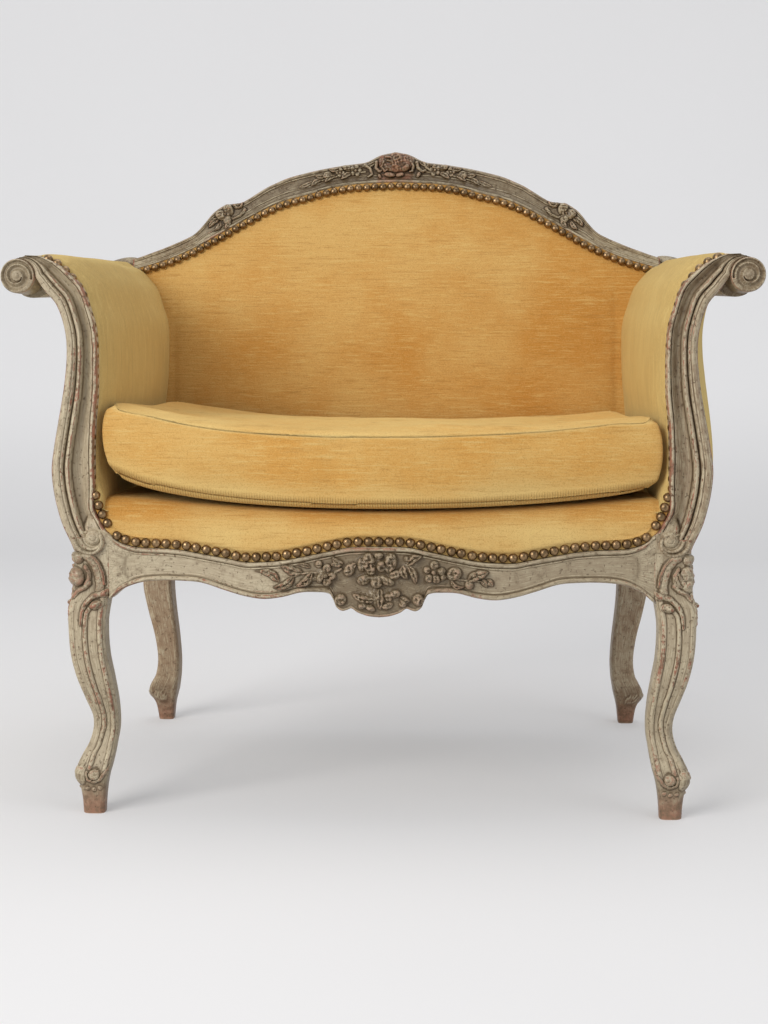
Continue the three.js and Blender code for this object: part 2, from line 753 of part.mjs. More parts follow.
function frontRail() {
  const section = (x) => {
    const [front, low, high] = [bowY(x), railLowerZ(x), railUpperZ(x)];
    return [
      [front + railBevel, low],
      [front, low + railBevel],
      [front, high - railBevel],
      [front + railBevel, high],
      [front + rebateDepth, high],
      [front + rebateDepth, seatRailTop],
      [frontRailThickness, seatRailTop],
      [frontRailThickness, low],
    ].map(([y, z]) => point(x, y, z));
  };
  const middle = (x, share) => point(x, bowY(x), mix(railLowerZ(x), railUpperZ(x), share));
  const sprigX = roseWidth / 2 + sprigWidth;
  const carving = [
    boss(roseWidth, roseRise, roseHeight, middle(0, railRoseShare)),
    boss(roseWidth / 2, roseRise, roseHeight / 2, point(0, -frontBow, railLowerZ(0) + roseHeight / 3)),
    ...[-sprigX, sprigX].map((x) => boss(sprigWidth, roseRise / 2, roseHeight / 2, middle(x, 1 / 2))),
  ];
  return worked(loft(railStations.map(section)), [...onBothSides([frontTenon(0)]), ...carving],
    onBothSides([frontPeg(fit)]));
}

function sideRail() {
  const bar = box(seatHalf - fit - railThickness, seatHalf - fit, legBlock + fit, backPegY - fit,
    seatRailTop - sideRailDepth, seatRailTop);
  return worked(bar, [sideFrontTenon(0), sideRearTenon(0)], [sideFrontPeg(fit), sideRearPeg(fit)]);
}

function rearRail() {
  const half = seatHalf - postWidth - fit;
  const low = seatRailTop - sideRailDepth;
  const bar = box(-half, half, seatDepth - railThickness, seatDepth, low, seatRailTop);
  return worked(bar, onBothSides([rearTenon(0)]), onBothSides([rearPeg(fit)]));
}

const facingFoot = legHeight + fit;
const innerStations = steps(outlineSegmentsCount);
const facingOutside = [
  [railHalf + fit, facingFoot],
  ...facingOuterShares.map(([up, out]) => [seatHalf + out * facingWidth, facingFoot + up * armSpan]),
  ...steps(voluteSegmentsCount).map((k) => {
    const angle = Math.PI * mix(...voluteTurnShares, k);
    return [voluteX + voluteRadius * Math.cos(angle), rollZ + voluteRadius * Math.sin(angle)];
  }),
  [voluteX - voluteRadius * neckShare, armHeight],
];

/** The facing without its volute and holes, grown by a gap where it is cut out of the stuffing. */
function facingBoard(gap) {
  const edge = (depth) => innerStations.toReversed().map((s) => armInside(s, 0, depth(s) + gap));
  const land = edge(landAt).filter(([x]) => x > railHalf + 2 * fit);
  const show = edge(() => 0).filter(([x]) => x > railHalf + 2 * fit);
  const footOf = (rim) => [railHalf + fit, rim.at(-1)[1]];
  const front = board([...facingOutside, ...show, footOf(show)],
    [[0, facingBevel - gap], [facingBevel, 0], [2 * facingLip, 0]]);
  const rear = board([...facingOutside, ...land, footOf(land)],
    [[facingLip - gap, 0], [facingThickness + gap, 0]]);
  return worked(front, [rear]);
}

function armFacing() {
  const disc = new THREE.LatheGeometry(
    voluteShares.map(([across, out]) => new THREE.Vector2(across * voluteRadius, -out * voluteProud)),
    voluteSegmentsCount,
  ).translate(voluteX, 0, rollZ);
  const curl = rod(curlRadius, facingBevel + voluteProud / 2,
    point(railHalf + curlRadius + fit, -voluteProud / 2, facingFoot + curlRadius), yAxis);
  return worked(facingBoard(0), [disc, curl], [facingDowel(fit), rollDowel(fit)]);
}

/** A ring of a rolled rail round a centre, lying across the direction it runs in. */
function rollRing(centre, width, height, heading) {
  return steps(rollSidesCount).slice(1).map((k) => {
    const angle = 2 * Math.PI * k;
    const across = (Math.cos(angle) * width) / 2;
    return point(centre.x + across * Math.cos(heading), centre.y - across * Math.sin(heading),
      centre.z + (Math.sin(angle) * height) / 2);
  });
}

function armTopRail() {
  const start = facingThickness + fit;
  const rings = [start, rollEndY].map((y, t) => {
    return rollRing(point(rollX, y, rollZ + armRise * t), rollWidth, rollHeight, 0);
  });
  return worked(loft(rings), [], [rollDowel(fit), rollEndDowel(fit)]);
}

/** The shoulder turns out from the crest rail, then runs forward to the arm's top rail. */
function shoulder() {
  const turnRadius = rollX - shoulderEnd.x;
  const straight = shoulderEnd.y - turnRadius - rollEndY - fit;
  const length = (turnRadius * Math.PI) / 2 + straight;
  const ring = (angle, after) => {
    const t = (turnRadius * angle + after) / length;
    const centre = point(
      shoulderEnd.x + turnRadius * Math.sin(angle),
      shoulderEnd.y - turnRadius * (1 - Math.cos(angle)) - after,
      mix(shoulderEnd.z, rollEndZ, THREE.MathUtils.smoothstep(t, 0, 1)),
    );
    const width = mix(stileThickness, rollWidth, t);
    return rollRing(centre, width, mix(shoulderThickness, rollHeight, t), angle - Math.PI / 2);
  };
  const turns = steps(shoulderSegmentsCount).map((k) => ring((k * Math.PI) / 2, 0));
  return worked(loft([...turns, ring(Math.PI / 2, straight)]), [], [shoulderDowel(fit), rollEndDowel(fit)]);
}

const crestStations = steps(crestSegmentsCount).map((k) => mix(-1, 1, k) * crestHalf);

/** The crest rail without its holes, grown by a gap where it is cut out of the stuffing. */
function crestBody(gap) {
  const upper = crestStations.map((x) => [x, crestUpperZ(x)]);
  const show = [...upper, ...crestStations.toReversed().map((x) => [x, crestLowerZ(x) - gap])];
  const body = board(show, [
    [crestProud - gap, crestBevel],
    [crestProud + crestBevel - gap, 0],
    [backThickness - crestBevel, 0],
    [backThickness, crestBevel],
  ], (x, z) => backY(z));
  const lipTop = crestStations.map((x) => [x, crestLowerZ(x) + crestBevel]);
  const lipLow = crestStations.toReversed().map((x) => {
    const overStile = Math.abs(x) > stileInnerX(stileTop);
    return [x, overStile ? stileTop + fit : Math.max(crestLowerZ(x) - tackLip, stileTop + fit)];
  });
  const lip = board([...lipTop, ...lipLow], [[frameOffset - gap, 0], [frameOffset + stileThickness, 0]],
    (x, z) => backY(z));
  return worked(body, [lip]);
}

function crestRail() {
  const roseZ = mix(crestLowerZ(0), crestHeight, crestRoseShare);
  const roseMiddle = point(0, backY(crestHeight) + crestProud + crestBevel, roseZ);
  const rose = boss(crestRoseWidth, roseRise, roseHeight, roseMiddle);
  return worked(crestBody(0), [rose], onBothSides([stileDowel(fit), shoulderDowel(fit)]));
}

function lowerBackRail() {
  const half = seatHalf - postWidth - fit;
  const outline = [
    [-half, lowerBackRailLow],
    [half, lowerBackRailLow],
    [half, lowerBackRailHigh],
    [-half, lowerBackRailHigh],
  ];
  return board(outline, [[frameOffset, 0], [frameOffset + stileThickness, 0]], (x, z) => backY(z));
}

/** The rail that the arm's covers are tacked to, from the facing to the rear post. */
function armTackingRail() {
  const s = tackingShare;
  const section = (y) => {
    const near = armInside(s, y)[0] + armPadDepth + 2 * fit;
    const far = near + armRailThickness;
    return [
      point(near, y, armRailLow),
      point(far, y, armRailLow),
      point(far, y, armRailHigh),
      point(near, y, armRailHigh),
    ];
  };
  return loft([section(facingThickness + fit), section(backPegY - fit)]);
}

/** A glue block in a corner of the seat frame, notched round the leg. */
function cornerBlock(railY, legY, towards) {
  const legX = railHalf - fit;
  const sideX = seatHalf - railThickness - 2 * fit;
  const innerX = towards > 0 ? legX : seatHalf - postWidth - fit;
  const outline = [
    [innerX, railY],
    [innerX, legY],
    [sideX, legY],
    [sideX, railY + towards * blockLeg],
    [sideX - blockLeg, railY],
  ];
  const low = seatRailTop - (sideRailDepth + blockHeight) / 2;
  return plate(outline, low, low + blockHeight);
}

// Webbing and hessian

/** The space inside the seat frame's corner pieces, as seen from above. */
function seatCloth(low, high) {
  const start = frontRailThickness / 3;
  const end = seatDepth - webInset;
  const wide = seatHalf - railThickness / 2;
  const half = [
    [railHalf - fit, start],
    [railHalf - fit, facingThickness + fit],
    [wide, facingThickness + fit],
    [wide, backPegY - fit],
    [seatHalf - postWidth - fit, backPegY - fit],
    [seatHalf - postWidth - fit, end],
  ];
  return plate([...half, ...half.toReversed().map(([x, y]) => [-x, y])], low, high);
}

/** Crossed straps as one flat net over a width and a length, lying at z from 0 to the strap's thickness. */
function net(width, length) {
  const lines = (size) => {
    const count = Math.max(2, Math.round((size + webGap) / (webStrap + webGap)));
    const gap = (size - count * webStrap) / (count - 1);
    return steps(count - 1).flatMap((_, i) => [i * (webStrap + gap), i * (webStrap + gap) + webStrap]);
  };
  const [xs, ys] = [lines(width), lines(length)];
  const filled = (i, j) => i >= 0 && j >= 0 && i < xs.length - 1 && j < ys.length - 1 && !(i % 2 && j % 2);
  const row = xs.length;
  const sheet = row * ys.length;
  const level = (z) => ys.flatMap((y) => xs.map((x) => point(x - width / 2, y, z)));
  const points = [0, webThickness].flatMap(level);
  const triangles = [];
  const quad = (a, b, c, d) => triangles.push([a, b, c], [a, c, d]);
  ys.forEach((_, j) => {
    xs.forEach((__, i) => {
      const a = j * row + i;
      if (filled(i, j)) {
        quad(a, a + row, a + row + 1, a + 1);
        quad(a + sheet, a + sheet + 1, a + sheet + row + 1, a + sheet + row);
      }
      if (i < row - 1 && filled(i, j) !== filled(i, j - 1)) {
        const [b, c] = filled(i, j) ? [a, a + 1] : [a + 1, a];
        quad(b, c, c + sheet, b + sheet);
      }
      if (j < ys.length - 1 && filled(i, j) !== filled(i - 1, j)) {
        const [b, c] = filled(i, j) ? [a + row, a] : [a, a + row];
        quad(b, c, c + sheet, b + sheet);
      }
    });
  });
  const used = [...new Set(triangles.flat())].sort((a, b) => a - b);
  const place = new Map(used.map((old, i) => [old, i]));
  return closedGeometry(used.map((i) => points[i]), triangles.map((t) => t.map((i) => place.get(i))));
}

function seatWebbing() {
  const start = frontRailThickness / 3;
  const straps = net(2 * seatHalf - railThickness, seatDepth - webInset - start);
  straps.translate(0, start, seatRailTop + fit);
  return clipped(straps, seatCloth(seatRailTop, seatRailTop + webThickness + 2 * fit));
}

const seatHessian = () => seatCloth(deckBase - fit - hessianThickness, deckBase - fit);

const backClothLow = lowerBackRailLow + webInset;
const backClothTop = (x) => crestLowerZ(x) - webInset;
const backClothHalf = (z) => stileInnerX(Math.min(z, stileTop)) + webInset;

/** A place on the back's cloths: across and up as shares of them, at a depth behind the stuffing's face. */
function backClothPoint(across, up, depth) {
  const wide = backClothHalf(mix(backClothLow, stileTop, up));
  const z = mix(backClothLow, backClothTop(across * wide), up);
  return point(across * wide, backY(z) + depth, z);
}

/** Straps from the lower rail to the crest's tacking edge, and from stile to stile. */
function backWebbing() {
  const [width, height] = [2 * backClothHalf(backClothLow), backClothTop(0) - backClothLow];
  const straps = net(width, height);
  const array = straps.attributes.position;
  for (let i = 0; i < array.count; i++) {
    const across = (2 * array.getX(i)) / width;
    const place = backClothPoint(across, array.getY(i) / height, frameOffset - fit - array.getZ(i));
    array.setXYZ(i, ...place.toArray());
  }
  return straps;
}

function backHessian() {
  const place = (u, v, deep) => {
    return backClothPoint(mix(-1, 1, u), v, padThickness + fit + (deep ? hessianThickness : 0));
  };
  return slab(place, padColumnsCount, clothRowsCount);
}

// Stuffing and covers
const archOf = (k) => Math.sqrt(Math.max(0, 1 - (2 * k - 1) ** 4));

/** The back's stuffing, grown by a gap where it is cut out of the arms' stuffing. */
function backPad(gap) {
  const place = (u, v, deep) => {
    const wide = mix(seatHalf - fit, crestHalf - fit, v) + gap;
    const x = mix(-1, 1, u) * wide;
    const z = mix(backPadLow - gap, crestLowerZ(x) + crestBevel, v);
    const open = Math.cos((Math.min(Math.abs(x) / railHalf, 1) * Math.PI) / 2);
    const crown = backCrown * Math.sqrt(open) * Math.sin(Math.PI * v);
    return point(x, backY(z) + (deep ? padThickness : -crown - gap), z);
  };
  return slab(place, padColumnsCount, padRowsCount);
}

function backStuffing() {
  const corner = box(seatHalf - postWidth - fit, seatHalf + fit, 0, seatDepth, seatRailTop, stileLow + fit);
  return worked(backPad(0), [], [crestBody(fit), ...onBothSides([corner])]);
}

function backCover() {
  const place = (u, v, deep) => {
    const wide = mix(seatHalf - fit, crestHalf - fit, v);
    const x = mix(-1, 1, u) * wide;
    const z = mix(seatRailTop + fit, crestLowerZ(x) - crestBevel - fit, v);
    return point(x, backY(z) + coverOffset + (deep ? coverThickness : 0), z);
  };
  return slab(place, padColumnsCount, padRowsCount / 2);
}

const armPadStart = innerStations.find((s) => armUp(s * armRows) > (armPadLow - legHeight) / armSpan);

/** The front of the arm's cover in the facing's rebate, grown by a gap, as it is cut out of the deck. */
function armFlange(gap) {
  const stations = innerStations.filter((s) => s < 1 / 2);
  const outer = stations.map((s) => armInside(s, 0, -gap));
  const inner = stations.toReversed().map((s) => armInside(s, 0, landAt(s) + coverThickness + gap));
  return board([...outer, ...inner], [[-gap, 0], [facingLip + gap, 0]]);
}

function armStuffing() {
  const place = (u, v, deep) => {
    const s = mix(armPadStart, 1, u);
    const [, height] = armInside(s, armReach);
    const y = mix(facingBevel, backY(height) + crestProud - 2 * fit, v);
    const crown = armCrown * archOf(v) * Math.sqrt(Math.sin(Math.PI * u));
    const hollow = armPadDepth * THREE.MathUtils.smoothstep(1 - s, 0, 1 - landEndShare);
    const [x, z] = armInside(s, Math.min(y, armReach), deep ? -hollow : landAt(s) + coverThickness + crown);
    return point(x, y, Math.max(z, armPadLow));
  };
  return worked(slab(place, armColumnsCount, armLengthsCount), [], [facingBoard(fit), backPad(fit)]);
}

function armOuterCover() {
  const high = legHeight + outerCoverHighShare * armSpan;
  const place = (u, v, deep) => {
    const up = Math.min(u / outerCoverTurnShare, 1);
    const z = mix(outerCoverLow, high, up) + armRise * v * up;
    const front = facingOuterX(mix(outerCoverLow, high, up)) - outerCoverInset;
    const rear = stileOuterX(z) + outerCoverInset;
    const belly = outerBulge * archOf(v) * Math.sqrt(Math.sin(Math.PI * mix(0, outerCoverTurnShare, up)));
    const tuck = (outerCoverTuck * Math.max(u - outerCoverTurnShare, 0)) / (1 - outerCoverTurnShare);
    const x = mix(front, rear, v) + (tuck ? tuck : belly);
    const y = mix(facingThickness + fit, backY(z) + coverOffset, v);
    const skin = deep ? coverThickness : 0;
    return tuck ? point(x, y, z - skin) : point(x - skin, y, z);
  };
  return slab(place, armColumnsCount, armLengthsCount);
}

/** The stuffed deck, as upright sections from side to side. */
function seatDeck() {
  const rear = backY(backPadLow) - fit;
  const rings = railStations.map((x) => {
    const front = bowY(x) + facingBevel;
    const low = railUpperZ(x) + fit;
    const top = deckZ(x);
    const belly = deckBulge * (1 - (x / railHalf) ** 4);
    const roll = steps(rollStepsCount).map((t) => {
      const angle = (t * Math.PI) / 2;
      const reach = front - belly + (deckRoll + belly) * (1 - Math.cos(angle));
      return point(x, reach, mix(low + nailPitch, top, Math.sin(angle)));
    });
    return [
      point(x, rear, deckBase),
      point(x, bowY(x) + rebateDepth - fit, deckBase),
      point(x, bowY(x) + rebateDepth - fit, low),
      point(x, front, low),
      point(x, front, low + nailPitch),
      ...roll.slice(1),
      point(x, rear, top),
    ];
  });
  return worked(loft(rings), [], onBothSides([armFlange(fit)]));
}

const narrowest = Math.min(...facingInnerShares.slice(2).map(([, out]) => seatHalf + out * facingWidth));

/** The square outline that the cushion's rings follow, as [a, b] pairs from -1 to 1. */
const squareOutline = [[1, 0], [0, 1], [-1, 0], [0, -1]].flatMap(([sideX, sideY]) =>
  steps(cushionSideStepsCount).slice(1).map((k) => {
    const along = mix(-1, 1, k);
    return [sideX - sideY * along, sideY + sideX * along];
  }),
);

/** The loose cushion: crowned on top, its sides drawn in, its boxing swelling out, its corners curled up. */
function cushion() {
  const half = narrowest - nailLand - coverThickness - armCrown - cushionSideGap - boxingBelly;
  const front = (x) => bowY(x) - cushionOverhang + boxingBelly;
  const rear = backY(deckHeight) - cushionBackGap - boxingBelly;
  const drawn = (along) => cushionDrawIn * (1 - along ** 2) + cushionCorner * along ** 8;
  const rings = cushionSectionShares.map(([reach, level, swell]) =>
    squareOutline.map(([sideA, sideB]) => {
      const [a, b] = [sideA * reach, sideB * reach];
      const x = a * (half - drawn(b) + swell * boxingBelly);
      const depth = (rear - front(x)) / 2;
      const y = front(x) + depth + b * (depth - drawn(a) + swell * boxingBelly);
      const dome = Math.sqrt(Math.max(0, Math.cos((a * Math.PI) / 2) * Math.cos((b * Math.PI) / 2)));
      const curl = cushionLift * Math.abs(x / half) ** 4;
      const seam = deckZ(x) + fit + bottomCrown + curl + level * boxingHeight;
      return point(x, y, seam + dome * mix(-bottomCrown, topCrown, level));
    }),
  );
  return loft(rings);
}

// Nails

/** A row of domed nail heads as one beaded strip along a path, standing off in the given direction. */
function nailStrip(path, out) {
  const curve = new THREE.CatmullRomCurve3(path);
  const count = Math.round(curve.getLength() / nailPitch);
  const rings = steps(count * 2).map((k, i) => {
    const centre = curve.getPointAt(k);
    const side = curve.getTangentAt(k).cross(out).normalize();
    const size = i % 2 ? 1 : gimpWidthShare;
    return steps(nailSidesCount - 1).map((s) => {
      const angle = Math.PI * s;
      return centre.clone()
        .addScaledVector(side, Math.cos(angle) * nailRadius * size)
        .addScaledVector(out, Math.sin(angle) * nailRise * size);
    });
  });
  return loft(rings);
}

function seatNails() {
  const path = railStations.filter((_, i) => i % 2 === 0).map((x) => {
    const inner = (x * (railHalf - 2 * nailRadius)) / railHalf;
    return point(inner, bowY(inner) + facingBevel - fit, railUpperZ(inner) + nailRadius + fit);
  });
  return nailStrip(path, forward);
}

function crestNails() {
  const lean = point(0, -1, backRakeShare).normalize();
  const path = crestStations.filter((_, i) => i % 2 === 0).map((x) => {
    const inner = (x * (crestHalf - 2 * nailPitch)) / crestHalf;
    const z = crestLowerZ(inner) - nailRadius - 2 * fit;
    return point(inner, backY(z) - 2 * fit - nailStandoff, z);
  });
  return nailStrip(path, lean);
}

function armNails() {
  const path = innerStations.map((k) => {
    const [x, z] = armInside(mix(...armNailShares, k), 0, nailRadius + 2 * fit);
    return point(x, facingBevel - fit, z);
  });
  return nailStrip(path, forward);
}

// Assembly
const chair = new THREE.Group();
const add = (parent, name, geometry, material) => {
  const mesh = new THREE.Mesh(geometry, material);
  mesh.name = name;
  parent.add(mesh);
};

const sidePieces = [
  ["front_leg", frontLeg(), paint],
  ["rear_post", rearPost(), paint],
  ["side_rail", sideRail(), paint],
  ["arm_facing", armFacing(), paint],
  ["arm_top_rail", armTopRail(), paint],
  ["shoulder", shoulder(), paint],
  ["arm_tacking_rail", armTackingRail(), beech],
  ["front_corner_block", cornerBlock(frontRailThickness + fit, legBlock + fit, 1), beech],
  ["rear_corner_block", cornerBlock(seatDepth - railThickness - fit, backPegY - fit, -1), beech],
  ["front_rail_peg", frontPeg(0), beech],
  ["side_rail_front_peg", sideFrontPeg(0), beech],
  ["side_rail_rear_peg", sideRearPeg(0), beech],
  ["rear_rail_peg", rearPeg(0), beech],
  ["facing_dowel", facingDowel(0), beech],
  ["arm_rail_dowel", rollDowel(0), beech],
  ["arm_rail_end_dowel", rollEndDowel(0), beech],
  ["stile_dowel", stileDowel(0), beech],
  ["shoulder_dowel", shoulderDowel(0), beech],
  ["arm_stuffing", armStuffing(), velvet],
  ["arm_outside_cover", armOuterCover(), velvet],
  ["arm_nails", armNails(), brass],
];
// The left side is the right side turned over.
const sides = [["right", 1], ["left", -1]].map(([name, turn]) => {
  const group = new THREE.Group();
  group.scale.x = turn;
  sidePieces.forEach(([piece, geometry, material]) => add(group, `${piece}_${name}`, geometry, material));
  return group;
});
chair.add(...sides);
add(chair, "front_rail", frontRail(), paint);
add(chair, "rear_rail", rearRail(), paint);
add(chair, "crest_rail", crestRail(), paint);
add(chair, "lower_back_rail", lowerBackRail(), beech);
add(chair, "seat_webbing", seatWebbing(), jute);
add(chair, "seat_hessian", seatHessian(), jute);
add(chair, "back_webbing", backWebbing(), jute);
add(chair, "back_hessian", backHessian(), jute);
add(chair, "seat_deck", seatDeck(), velvet);
add(chair, "back_stuffing", backStuffing(), velvet);
add(chair, "back_outside_cover", backCover(), velvet);
add(chair, "seat_cushion", cushion(), velvet);
add(chair, "seat_nails", seatNails(), brass);
add(chair, "crest_nails", crestNails(), brass);

// The origin is on the floor, under the middle of the chair's box.
chair.updateMatrixWorld(true);
const bounds = new THREE.Box3().setFromObject(chair);
const root = new THREE.Group();
chair.position.y = -(bounds.min.y + bounds.max.y) / 2;
root.add(chair);

export default root;
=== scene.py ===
"""Bergere chair: the visible pieces, modelled over the fixed frame, with their finishes, lamps and camera.

Shapes are worked out in millimetres, with y measured from the front face of the leg blocks, as the
frame's own sizes are, and each piece is set into the frame's metres when its mesh is made.
"""

import math

import bpy
import numpy as np
from bpy.props import FloatProperty, FloatVectorProperty, PointerProperty
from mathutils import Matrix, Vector


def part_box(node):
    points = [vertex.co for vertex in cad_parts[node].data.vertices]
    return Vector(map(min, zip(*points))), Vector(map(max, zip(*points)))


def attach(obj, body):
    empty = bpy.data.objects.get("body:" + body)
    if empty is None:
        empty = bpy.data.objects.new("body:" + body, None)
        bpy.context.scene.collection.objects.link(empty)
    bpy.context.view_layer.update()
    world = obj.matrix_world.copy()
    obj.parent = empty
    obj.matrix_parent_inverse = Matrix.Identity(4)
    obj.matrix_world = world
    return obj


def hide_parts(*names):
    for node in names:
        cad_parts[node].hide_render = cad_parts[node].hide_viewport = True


bl_info = {
    "name": "Bergere Chair",
    "version": (1, 0, 0),
    "blender": (4, 5, 0),
    "location": "View3D > Sidebar > Bergere",
    "description": "Models a wide carved and upholstered bergere over its frame",
    "category": "Object",
}

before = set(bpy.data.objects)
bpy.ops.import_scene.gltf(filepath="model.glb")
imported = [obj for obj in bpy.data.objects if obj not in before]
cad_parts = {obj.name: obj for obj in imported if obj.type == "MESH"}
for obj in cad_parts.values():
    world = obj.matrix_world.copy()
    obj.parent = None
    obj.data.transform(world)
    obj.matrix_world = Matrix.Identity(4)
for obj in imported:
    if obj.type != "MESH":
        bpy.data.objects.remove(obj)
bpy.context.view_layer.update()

# Sizes of the frame, in millimetres
SEAT_HALF = 400
SEAT_DEPTH = 550
LEG_BLOCK = 55
RAIL_HALF = SEAT_HALF - LEG_BLOCK
LEG_HEIGHT = 345
ARM_HEIGHT = 718
ARM_SPAN = ARM_HEIGHT - LEG_HEIGHT
ARM_RISE = 22
ARM_SPLAY = 10
RAIL_TOP = 378
RAIL_DEPTH = 112
FRONT_BOW = 26
DECK_HEIGHT = 413
DECK_SAG = 16
POST = 45
POST_LOW = 300
POST_HIGH = 432
FOOT_SWEEP = 38
FACING_WIDTH = 50
FACING_THICK = 48
LAND = 8
VOLUTE_RADIUS = 21.5
VOLUTE_X = 454.5
ROLL_X = 447.5
ROLL_Z = 692
ROLL_WIDTH = 57
ROLL_HEIGHT = 52
CREST_HALF = 418
CREST_END = 730
CREST_RISE = 142
CREST_DEPTH = 44
FRAME_OFFSET = 29.9
STILE_THICK = 34
RAKE = 0.17
STILE_TOP = 700
NAIL_PITCH = 13
FIT = 0.3
PAD_LIFT = 18  # the stuffings start this far above the seat rails
COVER_THICK = 1.6
COVER_BEHIND = 66.4  # from the face of the back's stuffing to the outside cover
ARM_COVER_BEHIND = 64.2
WEBBING_BEHIND = 28.2
HESSIAN_BEHIND = 26.9
BACK_WEB_LIFT = 74  # the back's webbing starts this far above the seat rails
BACK_WEB_WIDE, BACK_WEB_LONG = 700, 420
HESSIAN_THICK = 0.6
SIDES = ((1, "right"), (-1, "left"))
ORIGIN_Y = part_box("rear_rail")[1].y * 1000 - SEAT_DEPTH

RAIL_LOWER = [
    (0, 1), (0.04, 0.986), (0.078, 0.946), (0.1, 0.902), (0.117, 0.92), (0.136, 0.929), (0.156, 0.884),
    (0.165, 0.813), (0.18, 0.741), (0.232, 0.723), (0.287, 0.732), (0.354, 0.786), (0.423, 0.813),
    (0.493, 0.786), (0.568, 0.723), (0.655, 0.643), (0.733, 0.625), (0.806, 0.625), (0.87, 0.643),
    (0.922, 0.688), (0.962, 0.75), (1, 0.85),
]
RAIL_UPPER = [
    (0, 0.205), (0.104, 0.214), (0.186, 0.263), (0.284, 0.33), (0.362, 0.375), (0.43, 0.393),
    (0.493, 0.397), (0.55, 0.366), (0.655, 0.3125), (0.725, 0.277), (0.803, 0.259), (0.87, 0.254),
    (0.91, 0.241), (0.965, 0.183), (1, 0.085),
]
FRONT_LEG = [
    (0, -0.22, -0.74), (0.058, -0.2, -0.765), (0.104, -0.16, -0.8), (0.145, -0.1, -0.85),
    (0.174, -0.12, -0.9), (0.22, -0.25, -0.96), (0.261, -0.385, -1.0), (0.313, -0.47, -1.05),
    (0.365, -0.445, -1.06), (0.438, -0.3, -1.035), (0.522, -0.14, -0.97), (0.612, -0.035, -0.89),
    (0.725, 0, -0.87), (0.8, 0, -0.93), (0.87, 0, -1), (1, 0, -1),
]
REAR_LEG = [
    (0, -0.27, -0.8), (0.09, -0.18, -0.87), (0.147, -0.01, -0.955), (0.167, 0.03, -0.99),
    (0.21, -0.07, -1.044), (0.263, -0.27, -1.11), (0.357, -0.38, -1.167), (0.483, -0.31, -1.133),
    (0.64, -0.09, -1.033), (0.763, 0.03, -0.99), (1, 0, -1),
]
REAR_SWEEP = [
    (0, 1, 0.33), (0.09, 1, 0.18), (0.147, 1.08, -0.03), (0.167, 1.08, -0.1), (0.21, 0.97, -0.24),
    (0.263, 0.74, -0.37), (0.357, 0.42, -0.55), (0.483, 0.26, -0.74), (0.64, 0.18, -0.92),
    (0.763, 0.1, -1.05), (1, 0, -1.18),
]
FACING_OUTER = [
    (0, -0.2), (0.027, -0.12), (0.086, 0.08), (0.139, 0.2), (0.206, 0.3), (0.276, 0.34), (0.343, 0.28),
    (0.445, 0.14), (0.515, 0.04), (0.582, -0.04), (0.67, -0.1), (0.751, -0.06), (0.834, 0.14), (0.879, 0.42),
]
FACING_INNER = [
    (0.062, -1.094), (0.075, -1.0), (0.105, -0.88), (0.142, -0.74), (0.196, -0.7), (0.249, -0.68),
    (0.343, -0.68), (0.448, -0.72), (0.523, -0.78), (0.59, -0.8), (0.684, -0.8), (0.759, -0.76),
    (0.818, -0.64), (0.885, -0.48), (0.93, -0.22), (0.968, 0.08), (0.986, 0.32), (0.9985, 0.56),
]
CREST_LOWER = [
    (0, 1), (0.144, 0.979), (0.237, 0.937), (0.33, 0.856), (0.421, 0.779), (0.486, 0.694),
    (0.577, 0.546), (0.67, 0.387), (0.763, 0.239), (0.856, 0.12), (0.95, 0.035), (1, 0),
]
CREST_DEPTHS = [
    (0, 1), (0.053, 0.946), (0.108, 0.719), (0.15, 0.68), (0.191, 0.683), (0.24, 0.694), (0.287, 0.739),
    (0.325, 0.772), (0.359, 0.782), (0.407, 0.784), (0.45, 0.77), (0.486, 0.774), (0.526, 0.748),
    (0.56, 0.725), (0.591, 0.74), (0.62, 0.873), (0.648, 0.996), (0.675, 0.995), (0.699, 0.933),
    (0.735, 0.697), (0.766, 0.551), (0.81, 0.522), (0.847, 0.513), (0.9, 0.482), (0.94, 0.451), (1, 0.397),
]
STILE = [
    (0, -1, 0), (0.22, -0.96, 0), (0.38, -0.92, 0.04), (0.565, -0.78, 0.18), (0.76, -0.62, 0.33),
    (0.94, -0.36, 0.53), (1, -0.26, 0.62),
]


# Curves and lines of the chair


def smooth(low, high, value):
    """Rises softly from 0 at low to 1 at high."""
    t = np.clip((np.asarray(value, float) - low) / (high - low), 0, 1)
    return t * t * (3 - 2 * t)


def mix(a, b, t):
    return a + (b - a) * t


def bell(value, centre, width):
    """1 at the centre, falling softly to both sides."""
    return np.exp(-(((value - centre) / width) ** 2))


def xyz(x, y, z):
    return np.stack(np.broadcast_arrays(x, y, z), -1)


def sheet_grid(low, rows, columns):
    """Places over a sheet: across from low to 1, up from 0 to 1."""
    return np.meshgrid(np.linspace(low, 1, rows), np.linspace(0, 1, columns), indexing="ij")


def distances(points):
    """How far along a line each of its points lies."""
    return np.concatenate([[0], np.cumsum(np.linalg.norm(np.diff(points, axis=0), axis=1))])


def read_along(at, length, values):
    """The rows of values at these distances along their line."""
    return np.stack([np.interp(at, length, column) for column in values.T], -1)


